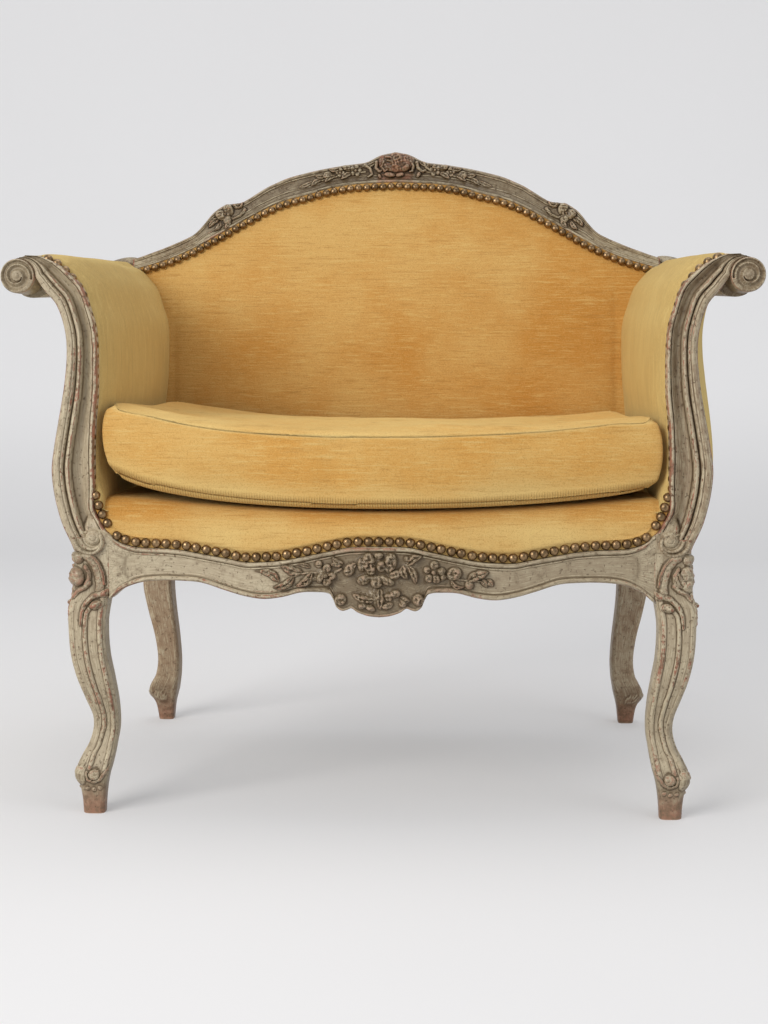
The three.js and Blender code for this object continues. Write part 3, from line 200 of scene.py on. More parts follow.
def curve_through(rows, column=1):
    """A smooth curve through the rows of a table, read at any place."""
    places = np.array([row[0] for row in rows], float)
    values = np.array([row[column] for row in rows], float)
    before = np.maximum(np.arange(len(rows)) - 1, 0)
    after = np.minimum(np.arange(len(rows)) + 1, len(rows) - 1)
    slopes = (values[after] - values[before]) / (places[after] - places[before])

    def read(at):
        t = np.clip(at, places[0], places[-1])
        i = np.clip(np.searchsorted(places, t, side="right") - 1, 0, len(places) - 2)
        span = places[i + 1] - places[i]
        k = (t - places[i]) / span
        return (
            (2 * k**3 - 3 * k**2 + 1) * values[i]
            + (k**3 - 2 * k**2 + k) * span * slopes[i]
            + (3 * k**2 - 2 * k**3) * values[i + 1]
            + (k**3 - k**2) * span * slopes[i + 1]
        )

    return read


rail_lower = curve_through(RAIL_LOWER)
rail_upper = curve_through(RAIL_UPPER)
crest_lower = curve_through(CREST_LOWER)
crest_depth = curve_through(CREST_DEPTHS)
facing_outer = curve_through(FACING_OUTER)
stile_inner = curve_through(STILE, 1)
stile_outer = curve_through(STILE, 2)
arm_across = curve_through([(i, row[1]) for i, row in enumerate(FACING_INNER)])
arm_up = curve_through([(i, row[0]) for i, row in enumerate(FACING_INNER)])
ARM_ROWS = len(FACING_INNER) - 1


def rail_lower_z(x):
    return RAIL_TOP - RAIL_DEPTH * rail_lower(np.abs(x) / RAIL_HALF)


def rail_upper_z(x):
    return RAIL_TOP - RAIL_DEPTH * rail_upper(np.abs(x) / RAIL_HALF)


def bow_y(x):
    return -FRONT_BOW / 2 * (1 + np.cos(np.pi * np.minimum(np.abs(x) / RAIL_HALF, 1)))


def crest_lower_z(x):
    return CREST_END + CREST_RISE * crest_lower(np.abs(x) / CREST_HALF)


def crest_lip_z(x):
    """Lower edge of the crest's face, which hangs a little over the stuffing."""
    return crest_lower_z(x) - 4.6 * smooth(300, 40, np.abs(x))


def crest_upper_z(x):
    return crest_lower_z(x) + CREST_DEPTH * crest_depth(np.abs(x) / CREST_HALF)


def back_y(z):
    """Face of the back's stuffing, which leans with the stiles."""
    return SEAT_DEPTH - FRAME_OFFSET - STILE_THICK + RAKE * (z - RAIL_TOP)


def stile_x(z, edge):
    return SEAT_HALF + POST * edge((z - RAIL_TOP) / (STILE_TOP - RAIL_TOP))


def deck_z(x):
    return DECK_HEIGHT - DECK_SAG * (1 - (x / RAIL_HALF) ** 2)


ARM_REACH = back_y(ARM_HEIGHT)
ROLL_END_Y = back_y(ROLL_Z + ARM_RISE) - 62 / 3


def arm_inside(s, y, depth=0.0):
    """A place on the inside of the arm: s from its foot to its top, y from front to back, pushed in by a depth."""
    s, y, depth = np.broadcast_arrays(np.asarray(s, float), np.asarray(y, float), np.asarray(depth, float))

    def at(share):
        splay = ARM_SPLAY * y / ARM_REACH * np.sin(np.pi * share)
        x = SEAT_HALF + FACING_WIDTH * arm_across(share * ARM_ROWS) + splay
        return x, LEG_HEIGHT + arm_up(share * ARM_ROWS) * (ARM_SPAN + ARM_RISE * y / ARM_REACH)

    nudge = 1 / ARM_ROWS / 4
    x, z = at(s)
    ax, az = at(np.maximum(s - nudge, 0))
    bx, bz = at(np.minimum(s + nudge, 1))
    along = np.hypot(bx - ax, bz - az)
    return x - (bz - az) / along * depth, z + (bx - ax) / along * depth


# Carving, as heights in millimetres over a face that is laid out across and up


def dome(r):
    return np.sqrt(np.clip(1 - r**2, 0, 1))


def ridge(distance, centre, half, height):
    """A rounded moulding along a line, seen across it."""
    return height * dome((distance - centre) / half)


def stem(x, z, points, half, height, taper=1.0):
    """A rounded ridge along a line of points, thinner towards its end by the taper."""
    best = np.zeros_like(x)
    count = len(points) - 1
    for i in range(count):
        (ax, az), (bx, bz) = points[i], points[i + 1]
        long2 = (bx - ax) ** 2 + (bz - az) ** 2
        t = np.clip(((x - ax) * (bx - ax) + (z - az) * (bz - az)) / long2, 0, 1)
        away = np.hypot(x - ax - t * (bx - ax), z - az - t * (bz - az))
        size = mix(1.0, taper, (i + t) / count)
        best = np.maximum(best, height * size * dome(away / (half * size)))
    return best


def leaf(x, z, root, tip, width, height, bend=0.0, veins=4, lobes=0):
    """A carved leaf with a midrib, side veins and curled edges, bent to one side by a share of its length."""
    ax, az = tip[0] - root[0], tip[1] - root[1]
    length = math.hypot(ax, az)
    u = ((x - root[0]) * ax + (z - root[1]) * az) / length**2
    v = ((z - root[1]) * ax - (x - root[0]) * az) / length - bend * length * 4 * u * (1 - u)
    on = np.clip(u, 0.001, 0.999)
    half = width / 2 * np.sin(np.pi * on**0.85) ** 0.7
    if lobes:
        half = half * (0.8 + 0.2 * np.abs(np.sin(np.pi * lobes * on)))
    across = np.abs(v) / np.maximum(half, 0.05)
    body = dome(across * 0.98) ** 0.9 * (0.45 + 0.55 * np.sin(np.pi * on**1.4) ** 0.8)
    body += 0.2 * bell(across, 0.66, 0.2) - 0.3 * bell(v, 0, 0.9) * (on < 0.85)
    body += 0.1 * np.sin(2 * np.pi * (veins * on - 0.55 * across)) * (across > 0.12)
    return np.where((u > 0) & (u < 1) & (across < 1), height * np.maximum(body, 0.12), 0)


def petal(x, z, centre, size, turn, height, tilt=0.3, cup=0.0):
    """One bulging petal, higher towards the side that it is turned to; a cupped one is hollow behind its lip."""
    c, s = math.cos(math.radians(turn)), math.sin(math.radians(turn))
    p = ((x - centre[0]) * c + (z - centre[1]) * s) / size[0]
    q = ((z - centre[1]) * c - (x - centre[0]) * s) / size[1]
    r = np.hypot(p, q)
    body = dome(r) ** 0.9 * (1 + tilt * p)
    body = body - 0.7 * cup * np.exp(-((p + 0.3) ** 2 / 0.2 + q**2 / 0.12))
    return np.where(r < 1, height * np.maximum(body, 0), 0)


def mound(x, z, centre, size, height):
    """A low swelling without an edge, on which petals are set."""
    return height * np.exp(-2.2 * (((x - centre[0]) / size[0]) ** 2 + ((z - centre[1]) / size[1]) ** 2))


def chiselled(x, z, seed, amount, size=5.0):
    """Uneven cuts of the carver's tools, as a share of the height."""
    cuts = wrinkles(x, z, seed, size, 1.5) + 0.6 * wrinkles(x, z, seed + 1, size * 0.5, 1.5)
    return 1 + amount * np.tanh(cuts)


def flower(x, z, centre, radius, height, petals=5, turn=0.0):
    """A small open flower: cupped petals round a button."""
    dx, dz = x - centre[0], z - centre[1]
    r = np.hypot(dx, dz) / radius
    angle = np.arctan2(dz, dx) - math.radians(turn)
    lobe = np.abs(np.cos(petals * angle / 2))
    q = r / (0.6 + 0.4 * lobe**0.6)
    body = (0.35 + 0.62 * q**1.3) * (1 - np.clip(q, 0, 1) ** 7) * (0.45 + 0.55 * lobe**0.6)
    body = np.where(q < 1, body, 0)
    return height * np.maximum(body, 0.95 * dome(r / 0.27) * (r < 0.27))


SCROLL_PITCH = 0.42


def scroll(x, z, centre, radius, height, start):
    """A small volute: a ridge that winds in to a button."""
    dx, dz = x - centre[0], z - centre[1]
    r = np.hypot(dx, dz) / radius
    angle = (np.arctan2(dz, dx) - math.radians(start)) / (2 * np.pi)
    phase = ((1 - r) / SCROLL_PITCH - angle) % 1
    band = 0.35 + 0.65 * np.sin(np.pi * phase) ** 0.7
    body = np.where(r < 0.3, 1.15 * dome(r / 0.34), band * dome(r * 0.96) ** 0.35)
    return np.where(r < 1, height * body, 0)


def lay(field, *motifs):
    """Sets motifs on a field, the highest of them showing where they cross."""
    top = field
    for motif in motifs:
        top = np.where(motif > 0.02, np.maximum(top, field + motif), top)
    return top


def motifs(x, z, rows):
    """The heights of a table's motifs, each row a function and what it takes."""
    return [make(x, z, *rest) for make, *rest in rows]


def crowned(carved, rise, over=0.0):
    """Sets a boss on the carving, where it rises enough to be seen."""
    return np.where(rise > 0.3, np.maximum(carved, rise + over), carved)


# Meshes

RUN_STRETCH = 14  # streaks in the paint are this many times as long as they are wide


def signed_volume(points, faces):
    a = points[faces[:, 0]]
    total = 0.0
    for i in range(1, faces.shape[1] - 1):
        total += np.einsum("ij,ij->", a, np.cross(points[faces[:, i]], points[faces[:, i + 1]]))
    return total


def place_mesh(name, points, loops, sharp):
    """An object from millimetre points, shaded smooth but for its sharp edges."""
    mesh = bpy.data.meshes.new(name)
    mesh.from_pydata(((points + (0, ORIGIN_Y, 0)) / 1000).tolist(), [], loops)
    mesh.shade_smooth()
    mesh.set_sharp_from_angle(angle=math.radians(sharp))
    piece = bpy.data.objects.new(name, mesh)
    bpy.context.scene.collection.objects.link(piece)
    return piece


def new_mesh(name, points, faces, caps=(), sharp=50):
    """An object with its faces turned outwards."""
    turn = 1 if signed_volume(points - points.mean(0), faces) >= 0 else -1
    return place_mesh(name, points, [list(face)[::turn] for face in [*faces.tolist(), *caps]], sharp)


def grid_faces(rows, columns, wrap):
    index = np.arange(rows * columns).reshape(rows, columns)
    if wrap:
        index = np.hstack([index, index[:, :1]])
    return np.stack([index[:-1, :-1], index[:-1, 1:], index[1:, 1:], index[1:, :-1]], -1).reshape(-1, 4)


def ring_piece(name, rings, sharp, side=1):
    """A closed skin over rings of points, an array of rings by places by xyz, mirrored for the left side."""
    rings = rings * (side, 1, 1)
    count, places, _ = rings.shape
    last = (count - 1) * places
    caps = [list(range(places))[::-1], list(range(last, last + places))]
    piece = new_mesh(name, rings.reshape(-1, 3), grid_faces(count, places, True), caps, sharp)
    along = np.concatenate([[0], np.cumsum(np.linalg.norm(np.diff(rings, axis=0), axis=2).mean(1))])
    across = np.concatenate([[0], np.cumsum(np.linalg.norm(np.diff(rings, axis=1), axis=2).mean(0))])
    run = xyz(along[:, None] / RUN_STRETCH, across[None, :], 0.0) / 1000
    made = piece.data.attributes.new("run", "FLOAT_VECTOR", "POINT")
    made.data.foreach_set("vector", run.astype(np.float32).ravel())
    return piece


def slab_piece(name, face, back, side=1):
    """A closed pad between a face and a back, each an array of rows by columns by xyz."""
    return ring_piece(name, np.concatenate([face, back[:, ::-1]], 1), 60, side)


def mesh_points(mesh, kind="co"):
    values = np.empty(len(mesh.vertices) * 3, np.float32)
    mesh.vertices.foreach_get(kind, values)
    return values.reshape(-1, 3).astype(float)


def move_points(piece, points):
    piece.data.vertices.foreach_set("co", points.astype(np.float32).ravel())
    piece.data.update()


def store(mesh, name, values):
    made = mesh.attributes.new(name, "FLOAT", "POINT")
    made.data.foreach_set("value", np.asarray(values, np.float32))


def age_and_shade_at(x, z):
    """How brown and polished by rubbing the paint is from place to place: most on the carving that hands and feet
    reach, and more on the right half of the front rail, which is painted shade.
    """
    a = np.abs(x)
    rail = smooth(262, 275, z) * smooth(356, 348, z) * smooth(352, 344, a)
    # The second term browns the rail's right half more than its left: painted shade
    rail = rail * (0.95 * smooth(150, 60, a) + 0.45 * smooth(40, 200, x))
    crest = smooth(770, 800, z) * (0.6 + 0.3 * smooth(160, 130, a) + 0.7 * smooth(34, 24, a))
    knee = 0.45 * smooth(350, 358, a) * smooth(272, 300, z) * smooth(352, 345, z)
    foot = 0.5 * smooth(76, 56, z)
    volute = 0.5 * smooth(428, 440, a) * smooth(600, 640, z)
    return np.minimum(rail + crest + knee + foot + volute, 1.6)


def mark_edges(piece, passes, weights=1.0):
    """Stores how far each point stands out of its softened surroundings, in millimetres, for wear and dirt, for the
    painted highlight on edges and for the painted shade in hollows.
    """
    mesh = piece.data
    points = mesh_points(mesh) * 1000
    ends = np.empty(len(mesh.edges) * 2, np.int32)
    mesh.edges.foreach_get("vertices", ends)
    a, b = ends[0::2], ends[1::2]

    def gathered(at_first, at_second):
        return np.bincount(a, at_first, len(points)) + np.bincount(b, at_second, len(points))

    ones = np.ones(len(a))
    count = np.maximum(gathered(ones, ones), 1)
    soft = points.copy()
    for _ in range(passes):
        total = np.stack([gathered(soft[b, k], soft[a, k]) for k in range(3)], -1)
        soft = soft * 0.3 + 0.7 * total / count[:, None]
    length = np.linalg.norm(points[a] - points[b], axis=1)
    spacing = gathered(length, length) / count
    weights = weights * smooth(6, 3.5, spacing)
    store(mesh, "edge", ((points - soft) * mesh_points(mesh, "normal")).sum(1) * weights)
    store(mesh, "age", age_and_shade_at(points[:, 0], points[:, 2]))


def finish_piece(piece, material, slot, *nodes, body="chair"):
    """Gives a piece its finish, hides the nodes that it stands for and sets it on the body that it rides on."""
    piece.data.materials.clear()
    piece.data.materials.append(material)
    if nodes:
        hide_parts(*nodes)
    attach(piece, body)
    return piece


def painted(piece, tone, *nodes):
    finish_piece(piece, FINISHES[tone], "painted_wood", *nodes)


def mode(name):
    bpy.ops.object.mode_set(mode=name)


def chosen(objects):
    """Selects these objects alone and makes the last of them active."""
    bpy.ops.object.select_all(action="DESELECT")
    for one in objects:
        one.select_set(True)
        bpy.context.view_layer.objects.active = one


# Finishes


def srgb(red, green, blue):
    """A colour as Blender keeps it, from the usual 0 to 255 steps."""
    return tuple((c / 255 / 12.92) if c <= 10 else ((c / 255 + 0.055) / 1.055) ** 2.4 for c in (red, green, blue))


class Level:
    """A number on its way through the nodes, so that sums of such numbers are written as sums."""

    def __init__(self, shop, socket):
        self.shop, self.socket = shop, socket

    def __add__(self, other):
        return self.shop.math("ADD", self, other)

    def __sub__(self, other):
        return self.shop.math("SUBTRACT", self, other)

    def __mul__(self, other):
        return self.shop.math("MULTIPLY", self, other)


class Shop:
    """Places and links the nodes of one material or group, from left to right."""

    def __init__(self, tree):
        self.tree = tree
        self.column = 0

    def node(self, kind, **settings):
        made = self.tree.nodes.new(kind)
        made.location = (self.column * 190, -(self.column % 3) * 120)
        self.column += 1
        for name, value in settings.items():
            setattr(made, name, value)
        return made

    def put(self, socket, value):
        if isinstance(value, Level):
            value = value.socket
        if isinstance(value, bpy.types.NodeSocket):
            self.tree.links.new(value, socket)
        else:
            socket.default_value = value

    def fed(self, kind, *values, **settings):
        """A node with its first inputs filled in order."""
        made = self.node(kind, **settings)
        for socket, value in zip(made.inputs, values):
            self.put(socket, value)
        return made

    def math(self, operation, a, b=0.0):
        return Level(self, self.fed("ShaderNodeMath", a, b, operation=operation).outputs[0])

    def rise(self, value, low, high, out_low=0.0, out_high=1.0):
        """Rises softly from one level to another as the value goes from low to high."""
        given = (value, low, high, out_low, out_high)
        return Level(self, self.fed("ShaderNodeMapRange", *given, interpolation_type="SMOOTHSTEP").outputs[0])

    def blend(self, share, a, b):
        made = self.node("ShaderNodeMix", data_type="RGBA")
        for index, value in ((0, share), (6, a), (7, b)):
            self.put(made.inputs[index], value)
        return made.outputs[2]

    def noise(self, place, scale, detail=3.0, rough=0.55):
        made = self.node("ShaderNodeTexNoise")
        for label, value in (("Vector", place), ("Scale", scale), ("Detail", detail), ("Roughness", rough)):
            self.put(made.inputs[label], value)
        return Level(self, made.outputs[0])

    def stretched(self, place, scale):
        return self.fed("ShaderNodeVectorMath", place, scale, operation="MULTIPLY").outputs[0]

    def split(self, place):
        """A place's three numbers."""
        return [Level(self, one) for one in self.fed("ShaderNodeSeparateXYZ", place).outputs]

    def place(self):
        return self.node("ShaderNodeTexCoord").outputs["Object"]

    def mark(self, name):
        return Level(self, self.node("ShaderNodeAttribute", attribute_name=name).outputs["Fac"])


GREY = (0.5, 0.5, 0.5, 1)


def new_group(name, colours, values, outputs=("Color", "Roughness", "Height")):
    """An effect that several finishes share, with its named inputs and outputs."""
    tree = bpy.data.node_groups.new(name, "ShaderNodeTree")
    inputs = [(label, "NodeSocketColor", GREY) for label in colours]
    for label, value in values.items():
        inputs.append((label, "NodeSocketVector" if isinstance(value, tuple) else "NodeSocketFloat", value))
    for label, kind, value in inputs:
        tree.interface.new_socket(label, in_out="INPUT", socket_type=kind).default_value = value
    for label in outputs:
        kind = "NodeSocketColor" if label == "Color" else "NodeSocketFloat"
        tree.interface.new_socket(label, in_out="OUTPUT", socket_type=kind)
    shop = Shop(tree)
    return shop, shop.node("NodeGroupInput").outputs, shop.node("NodeGroupOutput").inputs


def aged_paint_group():
    """Old distemper over red ground: mottled, paler on its edges, partly from wear and partly as a painted highlight,
    worn through in places, with dirt and painted shade in hollows.
    """
    colours = ("Paint", "Rubbed", "Worn", "Dirt", "Aged")
    shop, given, out = new_group("Aged paint", colours, {"Wear": 0.5, "Grime": 0.8, "Crackle": 0.5})
    place, edge, age = shop.place(), shop.mark("edge"), shop.mark("age")
    run = shop.node("ShaderNodeAttribute", attribute_name="run").outputs["Vector"]
    patches, mottle = shop.noise(place, 11, 5, 0.6), shop.noise(place, 95, 5, 0.7)
    grain, specks = shop.noise(place, 520, 3, 0.6), shop.noise(place, 260, 2, 0.5)
    streaks = shop.noise(run, 620, 4, 0.7)
    tone = patches * 0.3 + mottle * 0.25 + streaks * 0.45
    body = shop.blend(shop.rise(tone, 0.44, 0.6, 0, 0.85), given["Paint"], given["Rubbed"])
    body = shop.blend(shop.rise(mottle, 0.46, 0.28, 0, 0.5), body, given["Dirt"])
    body = shop.blend(shop.rise(streaks, 0.47, 0.3, 0, 0.34), body, given["Dirt"])
    # Browner by the ageing mark, which also holds painted shade on the right of the front rail and on the right rear
    # post
    body = shop.blend(shop.rise(age, 0.0, 1.0, 0, 0.8), body, given["Aged"])
    uneven = mottle - 0.5
    ragged = edge + uneven * 0.7 + (streaks - 0.5) * 1.5
    fresh = shop.rise(age, 0.0, 1.0, 1, 0.7)
    # Paler on raised edges: partly wear, partly a painted highlight
    body = shop.blend(shop.rise(ragged, 0.06, 0.4, 0, 0.9) * fresh, body, given["Rubbed"])
    through = ragged + ((patches - 0.5) * 1.6 + (specks - 0.5)) * shop.rise(edge, 0.0, 0.2)
    worn = shop.rise(through + given["Wear"], 0.66, 0.95, 0, 0.9) * shop.rise(age, 0.0, 1.0, 1, 0.4)
    low = shop.split(place)[2] + uneven * 0.09
    worn = shop.math("MAXIMUM", worn, shop.rise(low, 0.05, 0.008, 0, 0.66))
    worn = shop.math("MAXIMUM", worn, shop.rise(age + uneven * 1.2, 1.1, 1.6, 0, 0.5))
    # Darker in hollows: dirt, and painted shade
    grime_and_shade = shop.rise(uneven * 0.4 - edge, 0.0, 0.5) * given["Grime"]
    cracks = shop.node("ShaderNodeTexVoronoi", feature="DISTANCE_TO_EDGE")
    shop.put(cracks.inputs["Vector"], shop.stretched(place, (1.0, 1.0, 0.55)))
    shop.put(cracks.inputs["Scale"], 150.0)
    line = shop.rise(cracks.outputs[0], 0.06, 0.0) * shop.rise(patches, 0.5, 0.62) * given["Crackle"]
    marks = shop.math("MAXIMUM", shop.rise(specks, 0.62, 0.7), line)
    ground = shop.blend(shop.rise(mottle, 0.6, 0.4, 0, 0.75), given["Worn"], given["Dirt"])
    # The dark colour over hollows is dirt and painted shade
    colour = shop.blend(grime_and_shade, shop.blend(worn, body, ground), given["Dirt"])
    shop.put(out["Color"], shop.blend(marks * 0.6, colour, given["Dirt"]))
    shop.put(out["Roughness"], shop.rise(mottle, 0.3, 0.7, 0.42, 0.6) - shop.rise(age, 0.0, 1.0) * 0.16)
    shop.put(out["Height"], mottle * 0.5 + grain * 0.25 + streaks * 0.3 - worn * 0.3 - marks)
    return shop.tree


def velvet_group():
    """A pile fabric with slubs along one direction, paler where the pile is brushed and with painted sheen where the
    nap mark is set, and ribs and painted shade near its seams.
    """
    values = {"Slub scale": (6, 6, 420), "Rib scale": 1900.0}
    shop, given, out = new_group("Slubbed velvet", ("Pile", "Brushed", "Shade"), values)
    place = shop.place()
    drawn = shop.stretched(place, given["Slub scale"])
    slubs, fine = shop.noise(drawn, 1, 3, 0.6), shop.noise(drawn, 2.7, 2, 0.6)
    brushed, tufts = shop.noise(place, 6.5, 4, 0.55), shop.noise(place, 620, 2, 0.7)
    seam, nap = shop.mark("seam"), shop.mark("nap")
    # Paler where the pile is brushed at random, and painted sheen where the nap mark is set
    share = shop.rise(brushed, 0.34, 0.7, 0, 0.5) + nap * 0.75
    colour = shop.blend(shop.math("MINIMUM", share, 1.0), given["Pile"], given["Brushed"])
    colour = shop.blend(shop.rise(slubs, 0.53, 0.7, 0, 0.6), colour, given["Brushed"])
    colour = shop.blend(shop.rise(slubs, 0.46, 0.28, 0, 0.4), colour, given["Shade"])
    colour = shop.blend(shop.rise(fine, 0.53, 0.7, 0, 0.45), colour, given["Brushed"])
    colour = shop.blend(shop.rise(tufts, 0.5, 0.3, 0, 0.42), colour, given["Shade"])
    colour = shop.blend(shop.rise(tufts, 0.52, 0.72, 0, 0.4), colour, given["Brushed"])
    wave = shop.math("SINE", shop.split(place)[0] * given["Rib scale"])
    ribs = shop.rise(wave, -0.4, 0.9) * seam
    # Painted shade along the cushion's lowest seam and round the rim of its underside, where it meets the deck
    colour = shop.blend(seam * 0.45, colour, given["Shade"])
    shop.put(out["Color"], shop.blend(ribs * 0.5, colour, given["Brushed"]))
    shop.put(out["Roughness"], shop.rise(slubs, 0.3, 0.7, 0.78, 0.92))
    shop.put(out["Height"], slubs * 0.55 + tufts * 0.4 + fine * 0.25 + ribs * 0.9)
    return shop.tree


def grain_group():
    """Long darker streaks along one direction with fine pores, for bare wood."""
    shop, given, out = new_group("Wood grain", ("Wood", "Streak"), {"Along": (3, 40, 40)}, ("Color", "Height"))
    place = shop.place()
    drawn = shop.stretched(place, given["Along"])
    streaks, pores = shop.noise(drawn, 2.4, 5, 0.65), shop.noise(drawn, 22, 2, 0.6)
    colour = shop.blend(shop.rise(streaks, 0.38, 0.68), given["Wood"], given["Streak"])
    colour = shop.blend(shop.rise(pores, 0.62, 0.7, 0, 0.5), colour, given["Streak"])
    shop.put(out["Color"], colour)
    shop.put(out["Height"], streaks * 0.4 - pores)
    return shop.tree


def weave_group():
    """A coarse plain weave, over and under, as in webbing and hessian."""
    shop, given, out = new_group("Plain weave", ("Thread", "Between"), {"Threads": 2600.0}, ("Color", "Height"))
    place = shop.place()
    x, y, z = shop.split(place)
    over = shop.math("SINE", x * given["Threads"]) * shop.math("SINE", (y + z) * given["Threads"])
    colour = shop.blend(shop.rise(over, -0.5, 0.5), given["Between"], given["Thread"])
    colour = shop.blend(shop.rise(shop.noise(place, 60, 3), 0.35, 0.65, 0, 0.4), colour, given["Between"])
    shop.put(out["Color"], colour)
    shop.put(out["Height"], over)
    return shop.tree


def brass_group():
    """Old lacquered nail heads: warm brown metal with darker patches."""
    shop, given, out = new_group("Old brass", ("Metal", "Tarnish"), {})
    place = shop.place()
    spots, drift = shop.noise(place, 240, 4, 0.65), shop.noise(place, 38, 2, 0.5)
    share = spots * 0.6 + drift * 0.4
    shop.put(out["Color"], shop.blend(shop.rise(share, 0.4, 0.62), given["Metal"], given["Tarnish"]))
    shop.put(out["Roughness"], shop.rise(spots, 0.3, 0.7, 0.3, 0.44))
    shop.put(out["Height"], shop.noise(place, 900, 2, 0.5))
    return shop.tree


FINISHES = {}


def new_material(name, group, values, depth, **shader):
    """A finish made of one group's colour, roughness and relief, in millimetres, on a principled shader."""
    made = FINISHES[name] = bpy.data.materials.new(name)
    made.use_nodes = True
    made.node_tree.nodes.clear()
    shop = Shop(made.node_tree)
    effect = shop.node("ShaderNodeGroup", node_tree=group)
    for label, value in values.items():
        effect.inputs[label].default_value = (*value, 1) if effect.inputs[label].type == "RGBA" else value
    surface = shop.node("ShaderNodeBsdfPrincipled")
    for label, value in shader.items():
        surface.inputs[label.replace("_", " ")].default_value = value
    shop.put(surface.inputs["Base Color"], effect.outputs["Color"])
    if "Roughness" in effect.outputs:
        shop.put(surface.inputs["Roughness"], effect.outputs["Roughness"])
    bump = shop.node("ShaderNodeBump")
    bump.inputs["Strength"].default_value = 1.0
    bump.inputs["Distance"].default_value = depth / 1000
    shop.put(bump.inputs["Height"], effect.outputs["Height"])
    shop.put(surface.inputs["Normal"], bump.outputs[0])
    shop.put(shop.node("ShaderNodeOutputMaterial").inputs["Surface"], surface.outputs[0])


def scaled(colour, *shares):
    """A colour with each of its parts brought to a share, or all of them to one."""
    return [part * share for part, share in zip(colour, shares if len(shares) > 1 else shares * 3)]


def make_finishes(colours):
    """Builds the chair's finishes from the colours of the panel."""
    paint, velvet = aged_paint_group(), velvet_group()
    # Wear, strength of the dirt and painted shade in hollows, and crackle, for each paint
    wear_grime_shade_crackle = {
        "paint": (0.36, 0.9, 0.45), "paint_crest": (0.2, 1.0, 0.3), "paint_right": (0.3, 1.0, 0.5),
        "paint_rear": (0.0, 0.7, 0.3),
    }
    for name, (wear, grime_and_shade, crackle) in wear_grime_shade_crackle.items():
        colour = getattr(colours, name)
        values = {
            "Paint": colour,
            "Rubbed": [min(1, mix(c, rubbed, 0.75)) for c, rubbed in zip(colour, colours.rubbed)],
            "Worn": colours.ground,
            "Dirt": scaled(colour, 0.3, 0.25, 0.19),
            "Aged": scaled(colour, 0.36, 0.31, 0.25),
            "Wear": wear,
            "Grime": grime_and_shade,
            "Crackle": crackle,
        }
        new_material(name, paint, values, 0.5, Specular_IOR_Level=0.35)
    upright = (130.0, 130.0, 16.0)
    piles = {
        "velvet_flat": (colours.velvet, (24.0, 24.0, 400.0)),
        "velvet_upright": (colours.velvet_arm, upright),
        "velvet_cushion": (colours.velvet_cushion, (26.0, 26.0, 380.0)),
        "velvet_outside": (colours.velvet_outside, upright),
    }
    for name, (colour, scale) in piles.items():
        brushed = [mix(c, t, 0.6) for c, t in zip(colour, colours.velvet_light)]
        values = {"Pile": colour, "Brushed": brushed, "Shade": scaled(colour, 0.62), "Slub scale": scale}
        new_material(
            name, velvet, values, 1.0, Sheen_Weight=0.35, Sheen_Roughness=0.45,
            Sheen_Tint=(*colours.velvet_light, 1), Specular_IOR_Level=0.15,
        )
    brass, beech, jute = colours.brass, colours.beech, colours.jute
    new_material("brass", brass_group(), {"Metal": brass, "Tarnish": scaled(brass, 0.45)}, 0.15, Metallic=1.0)
    new_material("beech", grain_group(), {"Wood": beech, "Streak": scaled(beech, 0.6)}, 0.3, Roughness=0.65)
    new_material("jute", weave_group(), {"Thread": jute, "Between": scaled(jute, 0.45)}, 0.6, Roughness=0.9)


